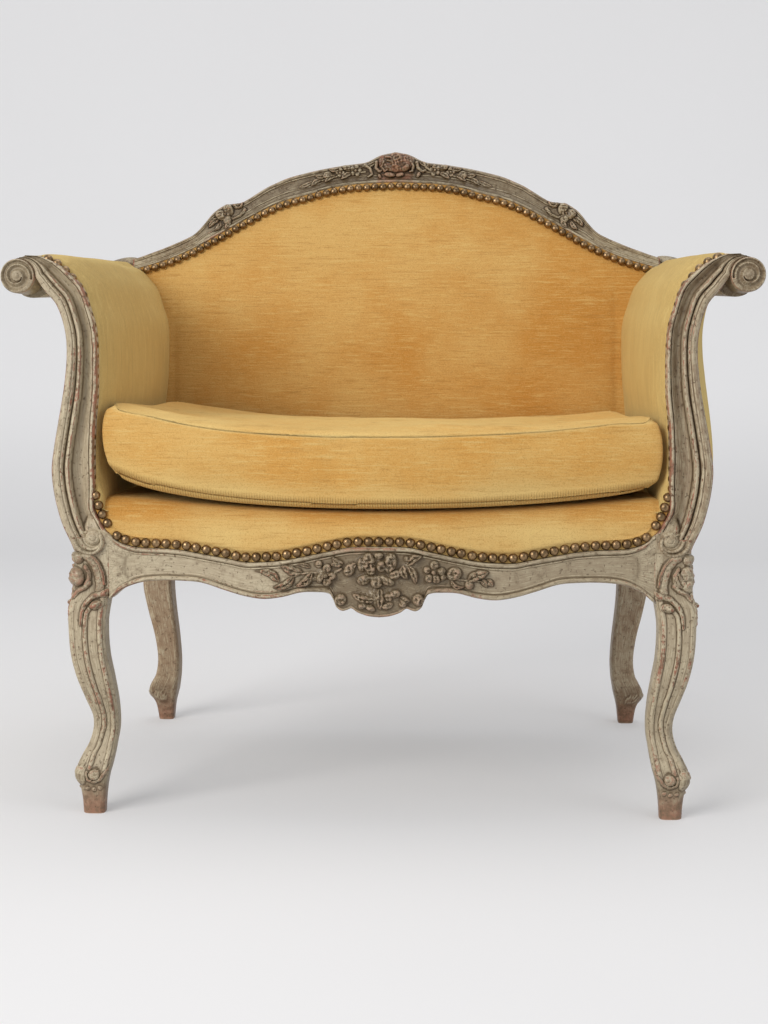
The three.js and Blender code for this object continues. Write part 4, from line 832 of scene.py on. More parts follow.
class BergereColours(bpy.types.PropertyGroup):
    """Colours of the chair's finishes."""

    paint: FloatVectorProperty(
        name="Paint", description="Aged paint of the front of the frame", subtype="COLOR", min=0, max=1,
        default=srgb(170, 154, 128),
    )
    paint_crest: FloatVectorProperty(
        name="Crest paint", description="Darker paint of the crest rail", subtype="COLOR", min=0, max=1,
        default=srgb(128, 110, 84),
    )
    # Darker than the left arm's paint: partly the paint's own tone, partly painted shade
    paint_right: FloatVectorProperty(
        name="Right arm paint", description="Paint of the right arm and its shoulder", subtype="COLOR", min=0, max=1,
        default=srgb(148, 128, 102),
    )
    paint_rear: FloatVectorProperty(
        name="Rear paint", description="Browner paint of the rear legs and the back of the frame", subtype="COLOR",
        min=0, max=1, default=srgb(160, 134, 106),
    )
    # Also the colour of the painted highlight on the paint's raised edges
    rubbed: FloatVectorProperty(
        name="Rubbed paint", description="Paler paint where it is rubbed", subtype="COLOR", min=0, max=1,
        default=srgb(206, 194, 164),
    )
    ground: FloatVectorProperty(
        name="Ground", description="Red ground that shows where the paint is worn", subtype="COLOR", min=0, max=1,
        default=srgb(158, 100, 78),
    )
    velvet: FloatVectorProperty(
        name="Velvet", description="Pile of the back and the deck", subtype="COLOR", min=0, max=1,
        default=srgb(194, 138, 64),
    )
    velvet_arm: FloatVectorProperty(
        name="Arm velvet", description="Pile of the arms' insides, brushed upright", subtype="COLOR", min=0, max=1,
        default=srgb(194, 164, 102),
    )
    velvet_cushion: FloatVectorProperty(
        name="Cushion velvet", description="Pile of the loose cushion", subtype="COLOR", min=0, max=1,
        default=srgb(204, 150, 74),
    )
    velvet_outside: FloatVectorProperty(
        name="Outside velvet", description="Pile of the outside covers", subtype="COLOR", min=0, max=1,
        default=srgb(222, 192, 122),
    )
    # Also the colour of the painted sheen that the nap mark sets
    velvet_light: FloatVectorProperty(
        name="Brushed pile", description="Paler colour of the brushed pile", subtype="COLOR", min=0, max=1,
        default=srgb(226, 204, 138),
    )
    brass: FloatVectorProperty(
        name="Nails", description="Metal of the nail heads", subtype="COLOR", min=0, max=1,
        default=srgb(158, 130, 96),
    )
    beech: FloatVectorProperty(
        name="Beech", description="Bare wood of the hidden pieces", subtype="COLOR", min=0, max=1,
        default=srgb(186, 150, 104),
    )
    jute: FloatVectorProperty(
        name="Jute", description="Webbing and hessian", subtype="COLOR", min=0, max=1,
        default=srgb(172, 146, 104),
    )
    floor: FloatVectorProperty(
        name="Floor", description="Floor and backdrop", subtype="COLOR", min=0, max=1,
        default=srgb(202, 201, 201),
    )


class BergereSizes(bpy.types.PropertyGroup):
    """Sizes of the fine shapes that the frame doesn't hold."""

    nail: FloatProperty(
        name="Nail radius", description="Radius of a nail's head", default=0.0063, min=0.003, max=0.008, unit="LENGTH"
    )
    nail_height: FloatProperty(
        name="Nail height", description="Height of a nail's dome", default=0.0056, min=0.002, max=0.007, unit="LENGTH"
    )
    carving: FloatProperty(
        name="Carving depth", description="Height of the rose on the front rail", default=0.009, min=0.004,
        max=0.012, unit="LENGTH",
    )
    seam: FloatProperty(
        name="Seam", description="How far the cushion's seams stand out", default=0.0022, min=0, max=0.005,
        unit="LENGTH",
    )
    crown: FloatProperty(
        name="Crown", description="Rise of the cushion's middle over its seams", default=0.024, min=0, max=0.03,
        unit="LENGTH",
    )


# Carved wood

def stations(start, *spans):
    """Places along a length: each span is an end and the step that leads to it."""
    places = [start]
    for end, step in spans:
        count = max(1, round((end - places[-1]) / step))
        places.extend(np.linspace(places[-1], end, count + 1)[1:])
    return np.array(places)


# The front rail's motifs: how each is made, its place, then what that function takes
ROSE = [
    (mound, (-2, 332), (24, 15), 6), (mound, (1, 315), (26, 9), 4.5),
    (petal, (-22, 332), (9, 4.5), 96, 7, 0.2),
    (petal, (0, 344), (6, 4.5), 0, 7.5, 0),
    (petal, (-12, 335), (13, 8.4), 100, 10, 0.25, 0.3),
    (petal, (14, 335), (13, 8.4), 78, 9.6, 0.25, 0.35),
    (petal, (-9, 326), (7, 5.5), 60, 10.5, 0.1, 0.5),
    (petal, (3.4, 331), (7.4, 7), 120, 12, 0.1, 0.45),
    (petal, (-18, 314), (9.4, 6.2), 196, 9, 0.3, 0.2),
    (petal, (-2.6, 311), (8, 7.6), 262, 9.4, 0.2, 0.3),
    (petal, (11, 312), (9, 5.4), 340, 8.2, 0.2, 0.3),
    (petal, (20, 320), (8, 6), 30, 8, 0.2, 0.2),
]
RAIL_FOLIAGE = [
    (mound, (0, 290), (34, 14), 3.6), (mound, (40, 330), (12, 13), 3),
    (petal, (34.6, 340), (3.8, 3.4), 90, 6.5),
    (leaf, (36, 332), (54, 344), 11, 8, 0.12, 3, 2),
    (leaf, (30, 332), (36, 315), 11, 7, -0.15, 3, 2),
    (leaf, (37, 331), (46, 309), 9.5, 7.5, 0.1, 3),
    (petal, (-37, 326), (8.6, 6.4), 240, 8.5, 0.35, 0.25),
    (leaf, (-28, 334), (-37, 330), 7, 5, 0.1, 2),
    (leaf, (-5, 288), (-33, 296), 11.5, 8, 0.1, 5, 3),
    (petal, (-20, 281), (6, 4.4), 200, 7, 0.2, 0.2),
    (petal, (-11, 278.5), (7, 4), 330, 7, 0.2, 0.2),
    (leaf, (1.5, 303), (1.5, 276), 11, 6.5, 0, 4, 3),
    (petal, (12, 292), (5.6, 5.6), 70, 7.5, 0.2, 0.2),
    (petal, (20, 296), (7.6, 5), 14, 8, 0.2),
    (leaf, (26, 292), (39, 287), 9.5, 6.5, -0.15, 4),
    (petal, (11, 281), (7.4, 4.2), 200, 7, 0.2, 0.2),
    (petal, (30, 283), (4.6, 4.2), 330, 6),
    (petal, (-48, 288.6), (7.6, 7.4), 200, 8, 0.1, 0.35),
    (petal, (49.5, 288.6), (7.6, 7.4), 340, 8, 0.1, 0.35),
]
RAIL_SIDES = [
    (mound, (-67, 321), (15, 12), 3.6), (mound, (70, 323), (14, 12), 3.6),
    (stem, [(-47, 327), (-60, 320), (-84, 322), (-98, 320), (-110, 315)], 1.6, 3, 0.7),
    (leaf, (-44, 333), (-58, 342), 9, 7, 0.15, 3, 2),
    (leaf, (-47, 331), (-60, 332), 7, 6, -0.1, 3),
    (petal, (-65, 327.6), (5.8, 5.4), 80, 8.5, 0.2, 0.3),
    (petal, (-73, 316), (7.6, 4.8), 250, 8, 0.2, 0.2),
    (petal, (-65, 311), (6, 5.6), 280, 9, 0.2, 0.3),
    (petal, (-59, 318), (5.4, 5), 10, 8, 0.2, 0.3),
    (petal, (-66.5, 318), (3.2, 3.2), 0, 9.5, 0),
    (petal, (-75, 332.6), (5, 4.6), 110, 7, 0.2, 0.3),
    (petal, (-81, 314), (4.8, 3), 190, 4.4),
    (leaf, (-84, 323), (-104, 305), 11, 8, 0.16, 3),
    (leaf, (-86, 328), (-102, 331), 5.5, 5, -0.1, 3),
    (leaf, (-96, 322), (-123, 330), 12, 6.5, 0.08, 4, 3),
    (leaf, (-107, 316), (-133, 302), 11, 8, 0.14, 3, 2),
    (leaf, (-126, 309), (-152, 323), 11, 6, -0.14, 3, 2),
    (petal, (69.5, 332), (6, 5.4), 90, 8, 0.2, 0.55),
    (petal, (60.6, 326), (5, 4.4), 160, 8, 0.2, 0.2),
    (petal, (63, 316), (5.8, 5.4), 230, 8.6, 0.2, 0.2),
    (petal, (71.6, 315), (6, 5.4), 290, 8.2, 0.2, 0.4),
    (petal, (78, 324.6), (5.4, 5), 20, 8, 0.2, 0.2),
    (petal, (80, 317), (4, 4.4), 330, 6.4),
    (petal, (68.4, 323), (3.2, 3), 0, 9, 0),
    (petal, (94, 321), (9.6, 8.4), 30, 8, 0.3, 0.5),
    (leaf, (90, 314), (107, 304.6), 6, 6, -0.25, 3),
    (petal, (113, 307), (5.6, 5), 300, 6.4, 0.2, 0.4),
    (leaf, (111, 312), (137, 322.6), 13.5, 8, 0.06, 4, 2),
    (stem, [(84, 318), (98, 314), (112, 312), (128, 311)], 1.6, 2.8, 0.7),
    (leaf, (128, 313), (135, 303.6), 7.5, 5.4, 0.1, 3),
    (leaf, (134, 313), (142, 304.4), 8, 5.4, 0.1, 3),
]


def rail_relief(x, z):
    """Mouldings and carving on the face of the front rail."""
    low, high = z - rail_lower_z(x), rail_upper_z(x) - z
    plain = smooth(46, 66, np.abs(x))
    joint = smooth(305, 340, np.abs(x))
    field = -3 * (1 - smooth(0, 2.4, np.minimum(low, high)))
    across = np.clip((low - 7) / np.maximum(low + high - 16, 6), 0, 1)
    field = field - 3.6 * np.sin(np.pi * across) ** 0.8 * plain * (1 - joint) + 2 * joint
    field = np.maximum(field, ridge(low, 3.2, 3.1, 4.6) * plain)
    field = np.maximum(field, (ridge(low, 9.2, 1.5, 1.6) - 0.7) * plain * (1 - joint))
    field = np.maximum(field, ridge(high, 3.1, 3.0, 4.4) - 0.2)
    field = np.maximum(field, ridge(high, 8.0, 1.3, 1.6) - 0.3)
    field = np.maximum(field, ridge(low, 1.8, 1.6, 1.4) * (1 - plain))
    cuts = chiselled(x, z, 61, 0.24, 5)
    carved = lay(field, *(motif * cuts * 1.15 for motif in motifs(x, z, RAIL_SIDES + RAIL_FOLIAGE)))
    return crowned(carved, np.max([motif * cuts * 1.15 for motif in motifs(x, z, ROSE)], axis=0))


def front_rail(sizes):
    x = stations(-(RAIL_HALF + 0.4), (-150, 2.6), (150, 0.85), (RAIL_HALF + 0.4, 2.6))
    low, high = rail_lower_z(x), rail_upper_z(x)
    across, up = np.broadcast_arrays(x[:, None], low[:, None] + (high - low)[:, None] * np.linspace(0, 1, 100))
    depth = sizes.carving * 1000 / 9
    face = xyz(across, bow_y(across) + 2 - depth * rail_relief(across, up), up)
    bow = bow_y(x)
    rest = [(bow + 4, high), (bow + 10, high), (bow + 10, x * 0 + RAIL_TOP), (x * 0 + 38, x * 0 + RAIL_TOP)]
    rest += [(x * 0 + 38, low + 1), (x * 0 + 34, low - 1), (bow + 18, low), (bow + 8, low)]
    back = np.stack([xyz(x, y, z) for y, z in rest], 1)
    piece = ring_piece("front_rail_carved", np.concatenate([face, back], 1), 65)
    mark_edges(piece, 8, smooth(0, 10, RAIL_HALF - np.abs(mesh_points(piece.data)[:, 0] * 1000)))
    painted(piece, "paint", "front_rail")


# The crest's motifs; the sprays and clasps stand on both sides
CREST_KNOT = [
    (petal, (2, 901), (30, 16), 0, 8, 0.1), (petal, (2, 903), (17, 13), 90, 11.5, 0.3),
    (stem, [(-14, 909), (2, 907), (16, 909), (25, 905)], 2.6, 12, 0.5),
    (stem, [(-12, 903), (0, 900), (14, 903)], 2.4, 12, 0.5),
    (petal, (16, 892), (8, 5.4), 35, 11, 0.2), (petal, (-9, 881), (9, 4), 350, 8),
    (petal, (7, 881), (7, 3.6), 10, 6.5),
    (stem, [(-18, 902), (-22, 894), (-17, 887), (-13, 889)], 3, 8, 0.6),
    (stem, [(-30, 901), (-31, 892), (-25, 886), (-21, 889)], 3.2, 7, 0.5),
    (stem, [(-48, 897), (-40, 891), (-37, 882), (-43, 878)], 3, 6, 0.5),
    (stem, [(24, 902), (29, 895), (27, 887), (23, 886)], 3.2, 8, 0.5),
    (stem, [(34, 900), (36, 892), (43, 886), (48, 888)], 3.4, 7, 0.6),
    (stem, [(46, 899), (50, 892), (56, 888)], 3, 5.5, 0.6),
    (leaf, (-30, 904), (-54, 895), 7, 4.6, 0.14, 2), (leaf, (36, 905), (60, 896), 7, 4.6, -0.14, 2),
    (petal, (37, 881), (5, 3), 60, 6), (petal, (-25, 879), (4, 2.6), 120, 5),
]
CREST_SPRAY = [
    (stem, [(48, 886), (80, 882), (112, 874), (150, 862)], 1.8, 3, 0.5),
    (flower, (63, 888), 10, 6.5, 5, 30),
    (petal, (77, 892), (8, 5), 20, 5),
    (leaf, (70, 884), (86, 874), 9, 5, 0.1, 3),
    (flower, (88, 885), 8, 5.5, 4, 10),
    (leaf, (90, 890), (106, 890), 8, 4.6, -0.1, 3),
    (leaf, (96, 880), (112, 870), 8.5, 4.6, 0.1, 3),
    (petal, (108, 881), (8, 5.5), -20, 5.4),
    (leaf, (112, 880), (128, 880), 8, 4.2, -0.1, 3),
    (leaf, (118, 874), (134, 864), 8, 4, 0.1, 3),
    (leaf, (132, 871), (154, 862), 7, 3.6, -0.06, 3),
]
CREST_CLASP = [
    (scroll, (251, 836), 8.5, 5.5, 200),
    (stem, [(240, 826), (247, 817), (258, 812), (266, 814)], 3, 4.5, 0.6),
    (petal, (266, 826), (10, 8), 60, 7.5),
    (petal, (277, 817), (10, 8), 20, 7.5),
    (petal, (268, 811), (9, 7), 250, 6.5),
    (flower, (271, 819), 8, 8.5, 5, 40),
    (leaf, (281, 812), (297, 798), 10, 5.5, 0.1, 3, 2),
    (leaf, (278, 806), (288, 793), 8, 5, -0.1, 3),
    (leaf, (262, 806), (270, 795), 8, 4.4, 0.1, 3),
]


def crest_relief(x, z):
    """Mouldings and carving on the face of the crest rail, on its slope."""
    low, high = z - crest_lip_z(x), crest_upper_z(x) - z
    k = np.clip((low + high) / 34, 0.45, 1)
    field = -3.4 * (1 - smooth(0, 3.2, high)) - 2.4 * (1 - smooth(0, 1.6, low))
    field = np.maximum(field, ridge(low, 3.4 * k, 3 * k, 4.2) - 0.2)
    field = field - 3 * bell(low, 9.5 * k, 2.4 * k)
    field = np.maximum(field, ridge(low, 14.4 * k, 1.4, 1.7) - 0.4)
    field = field - 1.8 * bell(low, 20 * k, 4.2 * k)
    field = np.maximum(field, ridge(high, 6.5 * k, 1.5, 1.8) - 0.2)
    field = np.maximum(field, ridge(high, 3 * k, 2.4 * k, 2.2) - 0.6)
    cuts = chiselled(x, z, 71, 0.12, 7)
    carved = lay(field, *(motif * cuts for motif in motifs(np.abs(x), z, CREST_SPRAY + CREST_CLASP)))
    return crowned(carved, np.max(motifs(x, z, CREST_KNOT), axis=0) * cuts, 0.6)


def crest_rail(sizes):
    steps = [(-300, 3), (-228, 0.95), (-158, 2.4), (158, 0.95), (228, 2.4), (300, 0.95), (CREST_HALF, 3)]
    x = stations(-CREST_HALF, *steps)
    low, high = crest_lip_z(x), crest_upper_z(x)
    across, up = np.broadcast_arrays(x[:, None], low[:, None] + (high - low)[:, None] * np.linspace(0, 1, 66))
    proud = 8 - 5 * smooth(16, 3, up - low[:, None]) - sizes.carving * 1000 / 9 * crest_relief(across, up)
    face = xyz(across, back_y(up) + proud, up)
    lip = np.maximum(low - 20, STILE_TOP + FIT)
    lip = np.where(np.abs(x) > stile_x(STILE_TOP, stile_inner), STILE_TOP + FIT, lip)
    rest = [(14, high + 0.6), (34, high + 1), (56, high + 0.6), (62, high - 1), (66, high - 5)]
    rest += [(67.2, mix(high, low, 0.5)), (66, low + 3), (63, low), (63, lip), (30, lip), (30, low), (14, low)]
    back = np.stack([xyz(x, back_y(z) + y, z) for y, z in rest], 1)
    piece = ring_piece("crest_rail_carved", np.concatenate([face, back], 1), 65)
    mark_edges(piece, 7)
    painted(piece, "paint_crest", "crest_rail")


def leg_ring(x0, x1, y0, y1, radii, count):
    """Points round a level square section, from its front outer arris, with their outward directions and distances.

    The radii are those of the arris, the front inner, the rear inner and the rear outer corner.
    """
    size = min(x1 - x0, y1 - y0)
    corners = [(x, y, min(r, size * 0.45)) for x, y, r in zip((x1, x0, x0, x1), (y0, y0, y1, y1), radii)]
    points, normals = [], []
    for quarter, (x, y, r) in enumerate(corners):
        middle = (x - r if x == x1 else x + r, y + r if y == y0 else y - r)
        for k in np.linspace(0, 1, 9):
            angle = -math.pi / 2 * (quarter + k)
            normal = (math.cos(angle), math.sin(angle))
            normals.append(normal)
            points.append((middle[0] + r * normal[0], middle[1] + r * normal[1]))
    turned = [np.roll(np.array(rows), -4, 0) for rows in (points, normals)]
    points, normals = [np.vstack([rows, rows[:1]]) for rows in turned]
    length = distances(points)
    at = np.linspace(0, length[-1], count + 1)[:-1]
    facing = read_along(at, length, normals)
    facing = facing / np.linalg.norm(facing, axis=1)[:, None]
    return read_along(at, length, points), facing, np.where(at > length[-1] / 2, at - length[-1], at)


def at_level(points, z):
    return np.column_stack([points, np.full(len(points), float(z))])


# The moulding that runs down each side of a front leg's arris: its distance from the arris, then its height
LEG_LINE = [
    (34, 276), (27.5, 274), (22.5, 266), (20.5, 256), (19.4, 235), (18.6, 189), (16.8, 152), (13.6, 128),
    (9.6, 104), (10.5, 80), (14.5, 62),
]
LEG_MOTIFS = [
    (stem, [(14, 340), (19, 337), (26, 328), (30, 315), (31.5, 305), (31, 297)], 6, 5, 0.9),
    (stem, [(21, 339), (30, 330), (35.5, 316), (37, 303)], 1.8, 5.5),
    (petal, (33, 276), (8, 6), 180, 6.5),
    (stem, [(42, 292), (34, 291), (25, 287), (19, 278), (17, 268), (15, 252)], 5.2, 6.6, 0.4),
    (stem, [(17, 304), (11, 298), (4, 294), (0, 286)], 3.6, 5, 0.7),
    (stem, [(13, 325), (17.5, 317), (17, 309), (13, 303)], 2.6, 5.6, 0.9),
    (petal, (22, 53), (7.6, 7.4), 200, 5.5, 0.1, 0.45),
    (stem, [(41, 66), (36, 56), (29, 47), (20, 43), (13, 46), (12, 56)], 2.3, 3.6, 0.8),
    *((petal, place, (3, 2.4), 0, 2) for place in ((9, 34), (17, 33), (25, 35))),
    (petal, (3, 52), (8, 13), 0, 2.6),
]
# Carving across the arris of the right and left leg, then what stands on both sides of it
LEG_ARRIS = {
    side: [(petal, (side * -2, 337), (8.4, 8.8), 90, 6.5, 0.1, 0.3), (stem, [(-6, 298), (0, 262)], 3, 2.4, 0.3), *own]
    for side, own in (
        (1, [(petal, (0, 314), (15, 12), 90, 6, 0.2), (petal, (0, 304), (10, 9), 90, 7)]),
        (-1, [(petal, (0, 312), (12.5, 11), 90, 9, 0.1)]),
    )
}
LEG_SIDES = {1: [(leaf, (4, 300), (14, 322), 11, 7, -0.1, 2)], -1: [(petal, (5, 307), (8, 5), 50, 9, 0.1, 0.3)]}


def front_leg_relief(d, z, width, side):
    """Mouldings and carving on a front leg, across from its arris and up; side is 1 on the right, -1 on the left."""
    a = np.abs(d)
    on = 1 - smooth(width - 1, width + 3, a)
    foot = smooth(48, 62, z)
    edge = np.interp(z, *np.array(LEG_LINE[::-1]).T[::-1])
    panel = smooth(1.5, 5.5, a - edge) * smooth(5.2, 9.5, width - a) * smooth(54, 62, z)
    field = -5 * (panel * (1 - smooth(262, 276, z)))
    field = field - 1.8 * smooth(2, 7, a) * smooth(0, 4, edge - 3 - a) * foot * (1 - smooth(262, 284, z))
    field = np.maximum(field, ridge(a, 0, 5.5, 1.8) * foot * (1 - smooth(270, 296, z)))
    field = np.maximum(field, stem(a, z, LEG_LINE, 2.8, 2.8))
    field = np.maximum(field, stem(a + 5.4, z, LEG_LINE, 1.4, 1.0) - 0.6)
    field = np.maximum(field, ridge(width - a, 4, 3, 2.2) * foot * (1 - smooth(284, 300, z)) - 0.1)
    cuts = chiselled(d, z, 81, 0.08, 7)
    carved = motifs(a, z, LEG_MOTIFS + LEG_SIDES[side]) + motifs(d, z, LEG_ARRIS[side])
    return lay(field, *(motif * cuts for motif in carved)) * on


def front_leg(side, name):
    up = stations(0, (60, 1.6), (255, 2.2), (345, 1.1))
    out, inner = (curve_through(FRONT_LEG, k)(up / LEG_HEIGHT) * LEG_BLOCK for k in (1, 2))
    rings = []
    for z, o, i in zip(up, out, inner):
        set_back = 9.5 * float(smooth(264, 302, z))
        o = o - set_back
        block = float(smooth(276, 290, z))
        front = -o - set_back
        corners = (11, mix(7, 0.2, block), mix(24, 3, block), 6)
        points, facing, d = leg_ring(SEAT_HALF + i, SEAT_HALF + o, front, -i, corners, 150)
        block = 1 - float(smooth(341, 345, z))
        rise = front_leg_relief(d, np.full_like(d, z), o - i - 5, side) * block
        rings.append(at_level(points + facing * rise[:, None], z))
    piece = ring_piece(f"front_leg_carved_{name}", np.array(rings), 60, side)
    mark_edges(piece, 3, 1.5 - 1.5 * smooth(334, 343, mesh_points(piece.data)[:, 2] * 1000))
    painted(piece, "paint", f"front_leg_{name}")


POST_RADII, POST_PLACES = (4, 4, 4, 4), 72


def rear_post(side, name):
    up = stations(0, (POST_LOW, 4))
    out, inner = (curve_through(REAR_LEG, k)(up / POST_LOW) * POST for k in (1, 2))
    rear, front = (curve_through(REAR_SWEEP, k)(up / POST_LOW) * FOOT_SWEEP for k in (1, 2))
    behind = back_y(np.array([RAIL_TOP, POST_HIGH])) + FRAME_OFFSET + STILE_THICK
    rings = []
    for z, o, i, r, f in zip(up, out, inner, rear, front):
        section = SEAT_HALF + i, SEAT_HALF + o, SEAT_DEPTH + f, SEAT_DEPTH + r
        points, facing, d = leg_ring(*section, (8, 6, 6, 6), POST_PLACES)
        width = o - i
        rise = ridge(width - 4 - np.abs(d), 3.5, 2, 0.7) * smooth(50, 70, z) * (1 - smooth(260, 285, z))
        rise = np.maximum(rise, scroll(np.abs(d), np.full_like(d, z), (14, 42), 9, 2.6, 200))
        rings.append(at_level(points + facing * rise[:, None], z))
    for z, y in ((RAIL_TOP, behind[0]), (POST_HIGH, behind[1])):
        points = leg_ring(SEAT_HALF - POST, SEAT_HALF, SEAT_DEPTH - POST, y, POST_RADII, POST_PLACES)[0]
        rings.append(at_level(points, z))
    for z in np.linspace(POST_HIGH + POST / 4, STILE_TOP, 40):
        y = back_y(z) + FRAME_OFFSET
        sides = stile_x(z, stile_inner), stile_x(z, stile_outer)
        points = leg_ring(*sides, y, y + STILE_THICK, POST_RADII, POST_PLACES)[0]
        rings.append(at_level(points, z))
    piece = ring_piece(f"rear_post_shaped_{name}", np.array(rings), 60, side)
    mark_edges(piece, 1)
    # The right post gets much more browning than the left: painted shade
    store(piece.data, "age", np.full(len(piece.data.vertices), 0.45 if side > 0 else 0.05))
    painted(piece, "paint_rear", f"rear_post_{name}")


def resampled(points, count):
    """A line of points, spread evenly along its length."""
    points = np.asarray(points, float)
    length = distances(points)
    return read_along(np.linspace(0, length[-1], count), length, points)


def facing_edges(count):
    """The facing's inner and outer outlines, from its foot to the top of its volute."""
    s = np.linspace(0, 1, 260)
    x, z = arm_inside(s, 0, 3.2 * smooth(0.16, 0.3, s) * smooth(0.95, 0.72, s))
    keep = x > RAIL_HALF + 1
    inner = [(RAIL_HALF + FIT, LEG_HEIGHT + FIT), (RAIL_HALF + FIT, 366), *zip(x[keep], z[keep])]
    inner.append((VOLUTE_X - VOLUTE_RADIUS / 2, ARM_HEIGHT))
    up = np.linspace(0, 0.879, 160)
    outer = list(zip(SEAT_HALF + FACING_WIDTH * facing_outer(up), LEG_HEIGHT + FIT + up * ARM_SPAN))
    turn = np.linspace(1.02, 0.44, 30) * np.pi
    outer += list(zip(VOLUTE_X + VOLUTE_RADIUS * np.cos(turn), ROLL_Z + VOLUTE_RADIUS * np.sin(turn)))
    return resampled(inner, count), resampled(outer, count)


def facing_profile(e_in, e_out, width):
    """Height of the facing's mouldings over its ground, from the distances to its two edges."""
    k = np.clip(width / 46, 0.15, 1)
    field = -4 * (1 - smooth(0, 3, e_out))
    field = np.maximum(field, ridge(e_out, 8 * k, 8.2 * k, 7.5) - 1.6)
    field = field - 1.2 * bell(e_out, 11 * k, 0.9 * k) - 4.2 * bell(e_out, 16.8 * k, 1.5 * k)
    field = np.maximum(field, ridge(e_out, 21 * k, 3.8 * k, 5.6) - 0.6)
    across = np.clip((e_out - 23 * k) / np.maximum(width - 30.5 * k, 1), 0, 1)
    field = field - 8.5 * np.sin(np.pi * across**0.8) ** 0.9 * smooth(10, 30, width)
    return field - 1.3 * bell(e_in, 6.4 * k, 0.9 * k)


CURL_X, CURL_Z = 364.5, 362.5
# Round the facing's foot, clockwise from its outer side: degrees, then the reach of its last winding
FOOT_REACH = [
    (0, 27), (45, 25.5), (90, 22.5), (135, 17.5), (180, 12.8), (225, 11.4), (270, 10.6), (310, 10.6), (345, 18),
    (360, 27),
]


def foot_scroll(side, name):
    """The ball at the foot of a facing, with the outer mouldings wound under and round it."""
    t = np.concatenate([np.linspace(0.02, 1, 56), [1.02]])[:, None]
    angle = np.linspace(0, 360, 145)[None, :-1]
    reach = np.interp(angle, *zip(*FOOT_REACH))
    out = np.minimum(t, 1) * reach
    ball = 8.5 * dome(out / 10.4) * (out < 10.4)
    ball = ball - 1.1 * bell(out - 3, angle / 90, 0.9) * (out < 9)
    rise = np.maximum(2.2 * smooth(0, 2, reach - out), ball)
    rise = np.maximum(rise, ridge(out, mix(10.4, reach, 0.36), 2.6, 5.4) * smooth(13, 17, reach))
    rise = np.maximum(rise, ridge(out, reach - 2.8, 2.9, 6.4) * smooth(10.5, 13, reach))
    sunk = smooth(312, 352, angle) * smooth(8, 12, out)
    y = -rise * (1 - sunk) + 3 * sunk
    y[-1] = 3
    turn = np.radians(-angle)
    rings = xyz(CURL_X + out * np.cos(turn), y, CURL_Z + out * np.sin(turn))
    return ring_piece(f"arm_foot_curl_{name}", rings, 70, side)


def arm_facing(side, name):
    inner, outer = facing_edges(300)
    share = np.linspace(0, 1, 64)
    flat = inner[:, None] + (outer - inner)[:, None] * share[None, :, None]
    x, z = flat[..., 0], flat[..., 1]
    width = np.linalg.norm(outer - inner, axis=1)[:, None]
    e_in, e_out = share * width, (1 - share) * width
    k = np.clip(width / 46, 0.15, 1)
    relief = facing_profile(e_in, e_out, width) * np.clip(width / 30, 0.5, 1)
    relief = mix(2.6, relief, np.clip(smooth(374, 392, z) + smooth(372, 380, x), 0, 1))
    bead = (ridge(e_in, 2.9 * k, 2.9 * k, 5) - 0.9) * smooth(364, 369, z[:, :1])
    relief = np.where(e_in < 5.8 * k, np.maximum(bead, np.where(z < 372, relief, -9)), relief)
    depth = 2.6 - relief
    face = xyz(x, depth, z)
    thick = FACING_THICK
    rest = [(1, 8), (1, 30), (1, thick), (0.5, thick), (0, thick), (0, 20), (0, 8)]
    back = np.stack([xyz(mix(inner, outer, t)[:, 0], y, mix(inner, outer, t)[:, 1]) for t, y in rest], 1)
    piece = ring_piece(f"arm_facing_moulded_{name}", np.concatenate([face, back], 1), 65, side)
    places = mesh_points(piece.data) * 1000
    mark_edges(piece, 5, np.maximum(smooth(350, 358, np.abs(places[:, 0])), smooth(366, 376, places[:, 2])))
    # The right arm's darker paint holds painted shade
    paint = "paint_right" if side > 0 else "paint"
    for part in (volute(side, name), foot_scroll(side, name)):
        mark_edges(part, 5)
        painted(part, paint)
    painted(piece, paint, f"arm_facing_{name}")


# Turns of a volute, then how far out its rim has wound in by then, of its radius
VOLUTE_TURNS = [
    (-0.3, 0.95), (0, 0.95), (0.5, 0.93), (0.75, 0.9), (1, 0.76), (1.25, 0.68), (1.5, 0.6), (1.75, 0.47),
    (2, 0.33), (2.3, 0.27),
]


def volute(side, name):
    """A round boss with a rimmed band that winds in to its button."""
    radius = VOLUTE_RADIUS
    r = np.concatenate([np.linspace(0.015, 1, 60), [1, 1]])[:, None]
    angle = np.linspace(0, 2 * np.pi, 145)[None, :-1]
    turn = ((np.pi * 1.08 - angle) / (2 * np.pi)) % 1
    rims = [np.interp(turn + k, *zip(*VOLUTE_TURNS)) for k in (0, 1, 2)]
    hollow = np.zeros_like(r + angle)
    for one, two in zip(rims, rims[1:]):
        across = (one - r) / np.maximum(one - two, 0.02)
        wave = (0.5 - 0.5 * np.cos(2 * np.pi * across)) ** 0.8
        hollow = np.where((across > 0) & (across < 1), wave, hollow)
    button = radius * 0.24 * dome(r / 0.27) * (r < 0.27)
    out = np.maximum(radius * 0.24 * (1 - hollow * 0.85), button + radius * 0.05) + radius * 0.1 * (1 - r)
    y = -out * smooth(1.03, 0.93, r) ** 0.6
    y[-2], y[-1] = 3, FACING_THICK
    rings = xyz(VOLUTE_X + radius * r * np.cos(angle), y, ROLL_Z + radius * r * np.sin(angle))
    return ring_piece(f"arm_volute_{name}", rings, 70, side)


